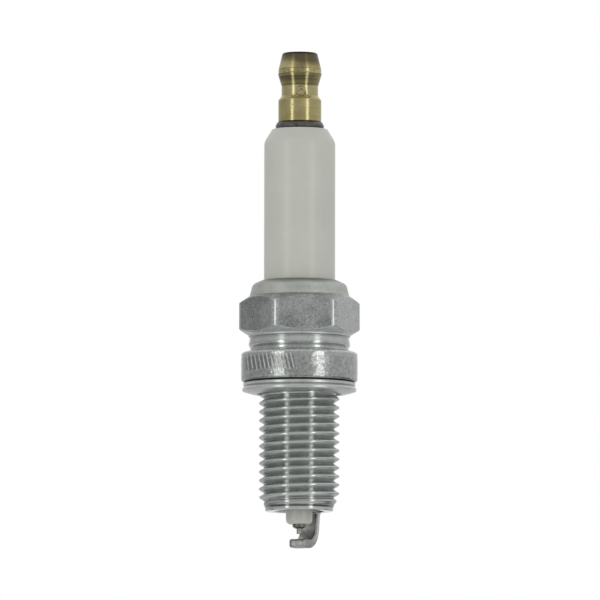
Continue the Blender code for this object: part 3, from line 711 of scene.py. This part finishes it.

# Brass of the terminal: bare metal, tarnish with painted shade, painted shade on the top and along the middle, and dirt
BRASS_BARE = [(0.25, (0.49, 0.42, 0.185)), (0.55, (0.58, 0.51, 0.25)), (0.8, (0.67, 0.61, 0.33))]
BRASS_NECK = (0.74, 0.68, 0.43)
BRASS_TARNISH_AND_SHADE = (0.088, 0.073, 0.044)
BRASS_LINES = (0.16, 0.13, 0.06)
BRASS_FOOT = (0.40, 0.29, 0.13)
BRASS_TOP_SHADE = (0.045, 0.036, 0.026)
BRASS_MIDDLE_SHADE = (0.14, 0.115, 0.06)
BRASS_GRIME = (0.13, 0.105, 0.05)
BRASS_EDGES = (0.15, 0.115, 0.06)
BRASS_SPOTS = (0.14, 0.11, 0.06)
UPPER_CONE = (46.6, 49.8)
UPPER_CONE_TARNISH_AND_SHADE = [
    (0.0, 0.15), (0.14, 0.0), (0.26, 0.06), (0.38, 0.36), (0.50, 0.72), (0.64, 0.90), (1.0, 0.94),
]
BELT_EDGES_Z = (46.44, 47.10)


def forged_zinc():
    """Zinc plate over the forged hexagon: matt, mottled and pitted, with two opposite flats rubbed by a spanner."""
    paint = Paint("forged_zinc")
    blotch = paint.noise(330, 3)
    mottle = paint.noise(3900, 4, roughness=0.65)
    grain = paint.noise(7500, 4, roughness=0.7)
    colour = paint.mix(0.42, paint.ramp(mottle, FORGED_MOTTLE), paint.ramp(blotch, FORGED_BLOTCH))
    rubbed = paint.span(paint.math("ABSOLUTE", paint.along(SPANNER_DIRECTION)), *SPANNER_FLAT, 0.0, 0.68)
    colour = paint.mix(rubbed, colour, paint.ramp(mottle, SPANNER_MOTTLE))
    relief = paint.bump(grain, 0.5, 0.00002)
    relief = paint.bump(mottle, 0.55, 0.00004, relief)
    return paint.finish(colour, paint.span(mottle, 0.3, 0.7, 0.44, 0.34), relief, Metallic=1.0)


def turned_zinc(name, roughness, tone, line, stretch, pitted, painted_shade_at=None, warm=1.0, **values):
    """Zinc plate over turned and rolled steel: fine lines round the axis and a soft lustre, with painted shade where
    asked.
    """
    paint = Paint(name)
    lines = paint.noise(60, 5, stretch=(1, 1, 90), roughness=0.7)
    blotch = paint.noise(700, 4)
    mottle = paint.noise(2800, 4, roughness=0.6)
    dull, bright = [
        (red * tone, green * tone, blue * tone / warm) for red, green, blue in (TURNED_DULL, TURNED_BRIGHT)
    ]
    shade = paint.ramp(blotch, [(0.3, dull), (0.7, bright)])
    shade = paint.mix(pitted, shade, paint.ramp(mottle, TURNED_PITS))
    colour = paint.mix(line, shade, paint.ramp(lines, TURNED_LINES))
    # Painted shade: darker where the given mask asks
    if painted_shade_at is not None:
        colour = paint.mix(painted_shade_at(paint), colour, TURNED_PAINTED_SHADE)
    relief = paint.bump(lines, 0.35, 0.000012)
    relief = paint.bump(mottle, pitted, 0.00002, relief)
    paint.turned(stretch)
    return paint.finish(colour, paint.span(mottle, 0.3, 0.7, *roughness), relief, **{"Metallic": 1.0, **values})


def by_height(*limits):
    """Painted shade that changes between two heights, from one amount to another."""
    return lambda paint: paint.span(paint.height(), *limits)


def thread_painted_shade(paint):
    """Painted shade in the thread's roots, and a thin painted darkening on its crests."""
    r = paint.radius()
    return paint.math("MAXIMUM", paint.span(r, 5.12, 5.55, 0.34, 0.0), paint.span(r, 5.78, 5.95, 0.0, 0.14))


def pilot_painted_shade(paint):
    """Painted shade in the groove above the pilot end, and on the end's lower edge."""
    z = paint.height()
    return paint.math("MAXIMUM", paint.span(z, -17.46, -17.38, 0.35, 0.0), paint.span(z, -16.99, -16.92, 0.0, 0.72))


def gasket_painted_shade(paint):
    """Painted shade in the gasket's groove, in the gap under the flange and thinly on its underside."""
    z = paint.height()
    groove = paint.near(z, 0.72, 0.05, 0.15, 0.20)
    top = paint.span(z, 1.10, 1.24, 0.0, 0.70)
    return paint.chain("MAXIMUM", groove, top, paint.span(z, -0.06, 0.10, 0.22, 0.0))


def stroke_gap_shade(paint):
    """Painted shade between the flange's slanted ridges."""
    share = paint.span(paint.height(), STROKE_BOTTOM_Z, STROKE_TOP_Z, -0.5, 0.5)
    turn = paint.math("ARCTAN2", paint.along(RIGHT), paint.along(FRONT))
    turn = paint.math("ADD", turn, paint.math("MULTIPLY", share, STROKE_LEAN / FLANGE_RADIUS))
    across = paint.math("MULTIPLY", paint.math("SINE", turn), FLANGE_RADIUS)
    spacing = (STROKE_LAST - STROKE_FIRST) / (STROKE_COUNT - 1)
    count = paint.math("DIVIDE", paint.math("SUBTRACT", across, STROKE_FIRST), spacing)
    gap = paint.near(paint.math("FRACT", count), 0.5, 0.16, 0.32)
    inside = paint.band(
        across, (STROKE_FIRST - 0.4, STROKE_FIRST - 0.2), (STROKE_LAST + 0.2, STROKE_LAST + 0.4),
    )
    tall = paint.band(share, (-0.5, -0.42), (0.42, 0.5))
    front = paint.span(paint.along(FRONT), 0.0, 0.5)
    return paint.chain("MULTIPLY", gap, inside, tall, front, 0.55)


def stamped_zinc():
    """Zinc plate on the rolled flange: dented and mottled, with painted shade between the slanted ridges and under its
    lower edge, and a painted sheen towards its top.
    """
    paint = Paint("stamped_zinc")
    z = paint.height()
    mottle = paint.noise(2200, 5, roughness=0.65)
    dents = paint.noise(900, 3)
    colour = paint.mix(stroke_gap_shade(paint), paint.ramp(mottle, STAMPED_MOTTLE), STAMPED_GAP_SHADE)
    # Painted sheen: lighter, and glossier, towards the flange's top edge
    top_sheen = paint.span(z, 4.60, 4.95)
    colour = paint.mix(paint.math("MULTIPLY", top_sheen, 0.5), colour, STAMPED_SHEEN)
    # Painted shade under the flange, at the gap above the gasket
    colour = paint.mix(paint.span(z, 1.42, 1.66, 0.75, 0.0), colour, UNDER_FLANGE_SHADE)
    relief = paint.bump(mottle, 0.6, 0.00006)
    relief = paint.bump(dents, 0.5, 0.00015, relief)
    gloss = paint.math("SUBTRACT", paint.span(mottle, 0.3, 0.7, 0.28, 0.18), paint.math("MULTIPLY", top_sheen, 0.12))
    return paint.finish(colour, gloss, relief, Metallic=1.0)


def stake_grime(paint, z):
    """Dirt along the rim of the punch mark and just inside it."""
    outward = Vector((math.cos(STAKE_ANGLE), math.sin(STAKE_ANGLE), 0.0))
    across = paint.math("DIVIDE", paint.math("ABSOLUTE", paint.along(UP.cross(outward))), STAKE_HALF_WIDTH)
    up = paint.math("DIVIDE", paint.math("MAXIMUM", paint.math("SUBTRACT", z, STAKE_Z), 0.0), STAKE_HEIGHT)
    reach = paint.math("ADD", paint.math("POWER", across, STAKE_CURVE), paint.math("POWER", up, STAKE_CURVE))
    reach = paint.math("POWER", reach, 1 / STAKE_CURVE)
    rim = paint.math("MAXIMUM", paint.near(reach, 1.22, 0.04, 0.15, 0.55), paint.near(reach, 0.84, 0.03, 0.12, 0.45))
    return paint.chain("MULTIPLY", rim, paint.span(up, 0.0, 0.12), paint.span(paint.along(outward), 0.5, 1.0))


def brass():
    """Turned brass: tarnish and painted shade darken it towards the top, most on the right and along the middle, and on
    the lower cone; painted shade on the top and along the belt's middle, and dirt along its edges.
    """
    paint = Paint("turned_brass")
    z = paint.height()
    side = paint.along(RIGHT)
    from_middle = paint.math("ABSOLUTE", side)
    lines = paint.noise(60, 5, stretch=(1, 1, 60), roughness=0.75)
    blotch = paint.noise(520, 5, distortion=0.6)
    speck = paint.noise(2600, 3)
    # Tarnish and painted shade on the upper cone: darker towards the top, on the right and along the middle
    uneven = paint.chain(
        "ADD", z, paint.span(lines, 0.2, 0.8, -0.25, 0.25), paint.span(blotch, 0.2, 0.8, -0.28, 0.28),
        paint.span(side, -2.4, 1.8, -0.55, 0.45), paint.span(from_middle, 0.4, 1.1, 0.35, 0.0),
    )
    tarnish_and_shade = paint.ramp(paint.span(uneven, *UPPER_CONE), UPPER_CONE_TARNISH_AND_SHADE)
    # On the lower cone: ringed dirt, more towards the left
    lower_cone = paint.band(z, (44.60, 44.72), (46.36, 46.42))
    rings = paint.noise(60, 2, stretch=(1, 1, 36))
    soiled = paint.math("ADD", paint.span(rings, 0.36, 0.64, 0.82, 0.40), paint.span(side, -2.6, -1.3, 0.16, 0.0))
    tarnish_and_shade = paint.math("MAXIMUM", tarnish_and_shade, paint.math("MULTIPLY", lower_cone, soiled), True)
    neck = paint.band(z, (43.2, 43.5), (44.5, 44.65), 0.35)
    clean = paint.mix(neck, paint.ramp(blotch, BRASS_BARE), BRASS_NECK)
    colour = paint.mix(tarnish_and_shade, clean, BRASS_TARNISH_AND_SHADE)
    colour = paint.mix(paint.span(lines, 0.30, 0.48, 0.35, 0.0), colour, BRASS_LINES)
    stains = paint.span(paint.noise(640, 3), 0.50, 0.66, 0.0, 0.35)
    foot = paint.math("MULTIPLY", paint.span(z, 42.3, 42.7, 1.0, 0.0), stains)
    colour = paint.mix(foot, colour, BRASS_FOOT)
    # Painted shade: the nut's top darkened, most at its rim
    rim = paint.math("MULTIPLY", paint.span(z, 49.10, 49.34), paint.span(paint.radius(), 2.05, 2.35, 0.35, 1.0))
    colour = paint.mix(rim, colour, BRASS_TOP_SHADE)
    # Painted shade along the middle of the belt, as seen from the front
    middle_shade = paint.band(z, (46.3, 46.5), (47.4, 47.9))
    middle_shade = paint.math("MULTIPLY", middle_shade, paint.span(from_middle, 0.5, 1.3, 0.42, 0.0))
    colour = paint.mix(middle_shade, colour, BRASS_MIDDLE_SHADE)
    colour = paint.mix(stake_grime(paint, z), colour, BRASS_GRIME)
    edges = paint.chain("MAXIMUM", *[paint.near(z, edge, 0.03, 0.09) for edge in BELT_EDGES_Z])
    edges = paint.math("MULTIPLY", edges, paint.span(blotch, 0.40, 0.58, 0.1, 0.65))
    colour = paint.mix(edges, colour, BRASS_EDGES)
    belt = paint.band(z, (46.3, 46.5), (46.9, 47.3))
    spots = paint.span(paint.math("ADD", speck, paint.math("MULTIPLY", belt, 0.08)), 0.64, 0.72)
    colour = paint.mix(paint.math("MULTIPLY", spots, 0.5), colour, BRASS_SPOTS)
    relief = paint.bump(lines, 0.40, 0.00002)
    relief = paint.bump(speck, 0.2, 0.00002, relief)
    paint.turned(0.88)
    gloss = paint.math("SUBTRACT", paint.span(blotch, 0.2, 0.8, 0.27, 0.36), paint.math("MULTIPLY", tarnish_and_shade, 0.13))
    return paint.finish(colour, gloss, relief, Metallic=1.0)


def rubber():
    """Dark moulded rubber with a dusty bloom."""
    paint = Paint("dark_rubber")
    dust = paint.noise(1500, 6, roughness=0.65)
    colour = paint.ramp(dust, [(0.3, (0.040, 0.039, 0.039)), (0.75, (0.095, 0.092, 0.087))])
    relief = paint.bump(paint.noise(4200, 4), 0.4, 0.00003)
    return paint.finish(colour, paint.span(dust, 0.3, 0.7, 0.22, 0.34), relief)


def glaze():
    """Glazed alumina: off white, with a faint mottling under a soft gloss."""
    paint = Paint("glazed_alumina")
    cloud = paint.noise(160, 3)
    speck = paint.noise(2400, 2)
    colour = paint.ramp(cloud, [(0.3, (0.478, 0.483, 0.434)), (0.7, (0.507, 0.512, 0.463))])
    colour = paint.mix(paint.span(speck, 0.70, 0.78, 0.0, 0.25), colour, (0.36, 0.34, 0.29))
    colour = paint.mix(paint.span(paint.height(), -19.0, -14.0, 0.12, 0.0), colour, (0.20, 0.19, 0.17))
    relief = paint.bump(paint.noise(420, 2), 0.10, 0.00002)
    return paint.finish(colour, paint.span(cloud, 0.3, 0.7, 0.27, 0.33), relief)


def drawn_alloy(name, dark, light, roughness, painted_light_above=None):
    """Drawn alloy with a dull oxide bloom, and painted light above a given height, against the shade that falls there.
    """
    paint = Paint(name)
    bloom = paint.noise(1400, 5, roughness=0.65)
    grain = paint.noise(5200, 4)
    colour = paint.ramp(bloom, [(0.28, dark), (0.72, light)])
    # Painted light: lighter above the given height
    if painted_light_above is not None:
        start, end, amount = painted_light_above
        colour = paint.mix(paint.span(paint.height(), start, end, 0.0, amount), colour, (0.78, 0.79, 0.77))
    relief = paint.bump(grain, 0.35, 0.000014)
    return paint.finish(colour, paint.span(grain, 0.3, 0.7, *roughness), relief, Metallic=1.0)


def powder(name, dark, light):
    """Pressed mineral powder or fused glass, matt and granular."""
    paint = Paint(name)
    grain = paint.noise(3200, 5)
    colour = paint.ramp(grain, [(0.3, dark), (0.7, light)])
    relief = paint.bump(grain, 0.5, 0.00004)
    return paint.finish(colour, paint.span(grain, 0.3, 0.7, 0.55, 0.85), relief)


FORGED = forged_zinc()
THREAD = turned_zinc(
    "thread_zinc", roughness=(0.20, 0.27), tone=1.25, line=0.25, stretch=0.90, pitted=0.10,
    painted_shade_at=thread_painted_shade, Specular_Tint=(0.74, 0.75, 0.74, 1.0),
)
# Painted shade in the crease under the hexagon, darker towards the band's top
SMOOTH = turned_zinc(
    "smooth_zinc", roughness=(0.15, 0.22), tone=0.95, line=0.2, stretch=0.0, pitted=0.12,
    painted_shade_at=by_height(7.45, 7.80, 0.0, 0.40),
)
PILOT = turned_zinc(
    "pilot_zinc", roughness=(0.14, 0.22), tone=1.0, line=0.3, stretch=0.5, pitted=0.2, painted_shade_at=pilot_painted_shade,
)
# Painted shade in the gap between the rolled lip and the insulator, darker towards the lip's top
ROLLED = turned_zinc(
    "rolled_zinc", roughness=(0.44, 0.56), tone=0.99, line=0.15, stretch=0.3, pitted=0.14,
    painted_shade_at=by_height(15.50, 15.95, 0.0, 0.70), warm=1.06,
)
RUBBED = turned_zinc("rubbed_zinc", roughness=(0.20, 0.36), tone=1.0, line=0.1, stretch=0.0, pitted=0.45)
STAMPED = stamped_zinc()
GASKET_METAL = turned_zinc(
    "gasket_plate", roughness=(0.29, 0.37), tone=1.08, line=0.15, stretch=0.4, pitted=0.08,
    painted_shade_at=gasket_painted_shade, Metallic=0.75,
)
# Painted shade in the crease where the undercut meets the band, darker towards its bottom
UNDERCUT = turned_zinc(
    "undercut_zinc", roughness=(0.34, 0.44), tone=1.05, line=0.15, stretch=0.0, pitted=0.15,
    painted_shade_at=by_height(7.92, 8.02, 0.50, 0.0), Metallic=0.7,
)
BRASS = brass()
RUBBER = rubber()
GLAZE = glaze()
STRAP_METAL = drawn_alloy(
    "strap_alloy", (0.30, 0.305, 0.295), (0.48, 0.485, 0.47), (0.40, 0.54), painted_light_above=(-21.9, -20.9, 0.70),
)
STRAP_EDGES = drawn_alloy("strap_edge", (0.20, 0.205, 0.20), (0.45, 0.455, 0.445), (0.34, 0.48))
ELECTRODE_METAL = drawn_alloy("electrode_alloy", (0.13, 0.127, 0.115), (0.23, 0.226, 0.208), (0.32, 0.46))
TIP_METAL = drawn_alloy("tip_metal", (0.30, 0.29, 0.25), (0.46, 0.45, 0.40), (0.28, 0.40))
STEEL = drawn_alloy("plain_steel", (0.36, 0.36, 0.36), (0.48, 0.48, 0.47), (0.28, 0.42))
COPPER = drawn_alloy("copper", (0.58, 0.25, 0.14), (0.74, 0.36, 0.22), (0.28, 0.40))
TALC = powder("talc", (0.66, 0.65, 0.61), (0.78, 0.77, 0.73))
SEAL = powder("seal_glass", (0.07, 0.06, 0.055), (0.13, 0.12, 0.11))
RESISTOR = powder("resistor_mix", (0.025, 0.025, 0.025), (0.055, 0.055, 0.055))


def hexagon_finish(r, z, angle):
    """Finish on the hexagon: bright on its edges, plain on its flats and shaded on its lower chamfer."""
    side = hex_side(angle)
    on_side = r > side - 0.06
    from_corner = abs((angle + SIXTH / 2) % SIXTH - SIXTH / 2)
    from_edge = abs(z - HEX_BOTTOM_Z - HEX_UNDER_RISE * (side - BAND_RADIUS))
    if from_edge < 0.17 and r > side - 0.2 or on_side and from_corner < HEX_ROUND_ANGLE:
        return RUBBED
    return UNDERCUT if z < HEX_BOTTOM_Z + 1.0 and not on_side else FORGED


def shell_finish(r, z, angle):
    """Finish at a place on the shell."""
    if z >= HEX_TOP_Z:
        return ROLLED
    if z > HEX_BOTTOM_Z and r > BAND_RADIUS + 0.1:
        return hexagon_finish(r, z, angle)
    if BAND_TOP_Z < z <= HEX_BOTTOM_Z + 0.3 and r > BAND_RADIUS - 0.15:
        return UNDERCUT
    if BAND_BOTTOM_Z < z <= BAND_TOP_Z and r > BAND_RADIUS - 0.15:
        return SMOOTH
    if FLANGE_UNDER_Z < z <= BAND_BOTTOM_Z and r > 5.3:
        return STAMPED if z < FLANGE_SHOULDER_Z else RUBBED
    return PILOT if z < THREAD_BOTTOM_Z - 0.02 else THREAD


shell_finishes = (THREAD, FORGED, RUBBED, ROLLED, SMOOTH, STAMPED, UNDERCUT, PILOT)
for material in shell_finishes:
    shell.data.materials.append(material)
for face in shell.data.polygons:
    centre = face.center
    out = math.hypot(centre.x, centre.y)
    finish = shell_finish(out / MM, centre.z / MM, math.atan2(centre.y, centre.x))
    face.material_index = shell_finishes.index(finish)

finishes = {
    "upper_glass_seal": SEAL, "resistor": RESISTOR, "lower_glass_seal": SEAL, "electrode_copper_core": COPPER,
    "upper_packing_ring": STEEL, "talc_packing": TALC, "lower_packing_ring": STEEL, "inner_seat_washer": STEEL,
}
for node, material in finishes.items():
    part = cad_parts[node]
    part.data.materials.clear()
    part.data.materials.append(material)

rebuilt = [
    (shell, "shell", "body", "zinc_plate", None),
    (nut, "terminal_nut", "nut", "brass", BRASS),
    (ring, "terminal_seal_ring", "seal_ring", "black_rubber", RUBBER),
    (insulator, "insulator", "body", "insulator_glaze", GLAZE),
    (stud, "terminal_stud", "body", "plain_steel", STEEL),
    (gasket, "seat_gasket", "gasket", "gasket_steel", GASKET_METAL),
    (electrode, "center_electrode", "body", "nickel_alloy", ELECTRODE_METAL),
    (tip, "iridium_tip", "body", "tip_metal", TIP_METAL),
    (strap, "ground_strap", "body", "strap_alloy", STRAP_METAL),
]
for piece, node, body, slot, material in rebuilt:
    if material is not None:
        piece.data.materials.append(material)
    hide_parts(node)
    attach(piece, body)

strap.data.materials.append(STRAP_EDGES)
weld.data.materials.append(STRAP_METAL)
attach(weld, "body")
strokes.data.materials.append(RUBBED)
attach(strokes, "body")

# Camera at the photograph's angle
toward_camera = Vector((
    math.sin(VIEW_AZIMUTH) * math.cos(VIEW_ELEVATION), -math.cos(VIEW_AZIMUTH) * math.cos(VIEW_ELEVATION),
    math.sin(VIEW_ELEVATION),
))
lens = bpy.data.cameras.new("camera")
lens.sensor_width = SENSOR
lens.lens = SENSOR * VIEW_DISTANCE / FRAME_WIDTH
lens.clip_start = 0.05
camera = bpy.data.objects.new("camera", lens)
camera.location = VIEW_AIM + toward_camera * VIEW_DISTANCE
turn = toward_camera.to_track_quat("Z", "Y").to_matrix() @ Matrix.Rotation(VIEW_ROLL, 3, "Z")
camera.rotation_euler = turn.to_euler()
bpy.context.scene.collection.objects.link(camera)
bpy.context.scene.camera = camera

# Two upright soft strips in front of the object, each with a dimmer top: height of the middle, length and radiance
STRIP_ANGLE = 42
STRIP_DISTANCE = 0.60
STRIP_WIDTH = 0.125
STRIP_PIECES = (("", -0.09, 0.60, 2.2), ("_top", 0.31, 0.20, 0.6))


def studio(angle, distance, z):
    """A place in the studio at an angle to the right of the camera."""
    turn = math.radians(angle)
    return FRONT * math.cos(turn) * distance + RIGHT * math.sin(turn) * distance + UP * z


def softbox(name, angle, z, length, radiance):
    """Upright soft strip that faces the object, with its brightness given as radiance."""
    light = bpy.data.lights.new(name, "AREA")
    light.shape = "RECTANGLE"
    light.size = STRIP_WIDTH
    light.size_y = length
    light.energy = radiance * math.pi * STRIP_WIDTH * length
    lamp = bpy.data.objects.new(name, light)
    lamp.location = studio(angle, STRIP_DISTANCE, z)
    lamp.rotation_euler = (lamp.location - VIEW_AIM).to_track_quat("Z", "Y").to_euler()
    lamp.visible_camera = False
    bpy.context.scene.collection.objects.link(lamp)


for side, angle in (("left", -STRIP_ANGLE), ("right", STRIP_ANGLE)):
    for end, z, length, radiance in STRIP_PIECES:
        softbox(f"strip_{side}{end}", angle, z, length, radiance)

# Pale floor, and dark sheets low round the object that only reflections see
FLOOR_Z = -0.45
FLOOR_REACH = 3
FLAG_Z = -0.44
FLAG_NEAR = 0.52
FLAG_FAR = 1.40
FLAG_TURN = 28
FLAG_LAST = 140


def matt_grey(name, scale, dark, light):
    """Matt grey of the stage, a little uneven."""
    paint = Paint(name)
    return paint.finish(paint.ramp(paint.noise(scale, 3), [(0.3, dark), (0.7, light)]), Roughness=0.9)


def sheet(name, corners, material):
    """Flat stage sheet."""
    mesh = bpy.data.meshes.new(name)
    mesh.from_pydata([tuple(corner) for corner in corners], [], [(0, 1, 2, 3)])
    mesh.materials.append(material)
    made = bpy.data.objects.new(name, mesh)
    bpy.context.scene.collection.objects.link(made)
    return made


floor_corners = [(-1, -1), (1, -1), (1, 1), (-1, 1)]
sheet("floor", [(x * FLOOR_REACH, y * FLOOR_REACH, FLOOR_Z) for x, y in floor_corners],
      matt_grey("pale_floor", 6, 0.80, 0.82))
flag_grey = matt_grey("dark_flag", 30, 0.24, 0.28)
for turn in range(-FLAG_LAST, FLAG_LAST, FLAG_TURN):
    flag = sheet("dark_flag", [
        studio(turn, FLAG_NEAR, FLAG_Z), studio(turn + FLAG_TURN, FLAG_NEAR, FLAG_Z),
        studio(turn + FLAG_TURN, FLAG_FAR, FLAG_Z), studio(turn, FLAG_FAR, FLAG_Z),
    ], flag_grey)
    flag.visible_camera = False
    flag.visible_diffuse = False
    flag.visible_shadow = False

# World: white where the camera looks, a plain room for the light on the object, and for reflections a grey studio
# that is white behind the object. Its greys go by the bearing, from straight behind all the way round, and more is
# added by the height.
ROOM_GREY = (0.80, 0.80, 0.80)
WHITE = (1.0, 1.0, 1.0)
STUDIO_AROUND = [
    (0.0, 1.0), (0.035, 0.90), (0.09, 0.50), (0.20, 0.42), (0.36, 0.45), (0.5, 0.48), (0.64, 0.51), (0.74, 0.57),
    (0.80, 0.60), (0.86, 0.62), (0.915, 0.64), (0.965, 0.90), (1.0, 1.0),
]
STUDIO_ABOVE = [(0.58, 0.0), (0.74, 0.26), (0.86, 0.18), (1.0, 0.0)]

world = bpy.data.worlds.new("studio")
bpy.context.scene.world = world
world.use_nodes = True
world.node_tree.nodes.clear()
sky = Nodes(world.node_tree, "Generated")


def background(colour):
    """World light of one colour, or of what a socket gives."""
    made = sky.node("ShaderNodeBackground")
    sky.join([made.inputs["Color"]], [colour])
    return made.outputs[0]


def choose(share, first, second):
    """One world light or another."""
    made = sky.node("ShaderNodeMixShader")
    sky.join(made.inputs, (share, first, second))
    return made.outputs[0]


bearing = sky.math("ARCTAN2", sky.dot(RIGHT), sky.dot(FRONT))
bearing = sky.math("ADD", sky.math("DIVIDE", bearing, TURN), 0.5)
rise = sky.math("ADD", sky.math("MULTIPLY", sky.dot(UP), 0.5), 0.5)
around = sky.ramp(bearing, STUDIO_AROUND, smooth=False)
above = sky.ramp(rise, STUDIO_ABOVE, smooth=False)
mirrored = background(sky.mix(1.0, around, above, "ADD", True))
rays = sky.node("ShaderNodeLightPath")
lit = choose(rays.outputs["Is Glossy Ray"], background(ROOM_GREY), mirrored)
seen = sky.math("MAXIMUM", rays.outputs["Is Camera Ray"], rays.outputs["Is Transmission Ray"])
shown = choose(seen, lit, background(WHITE))
sky.link(shown, sky.node("ShaderNodeOutputWorld").inputs["Surface"])

bpy.context.scene.view_settings.view_transform = "Standard"
bpy.context.view_layer.update()
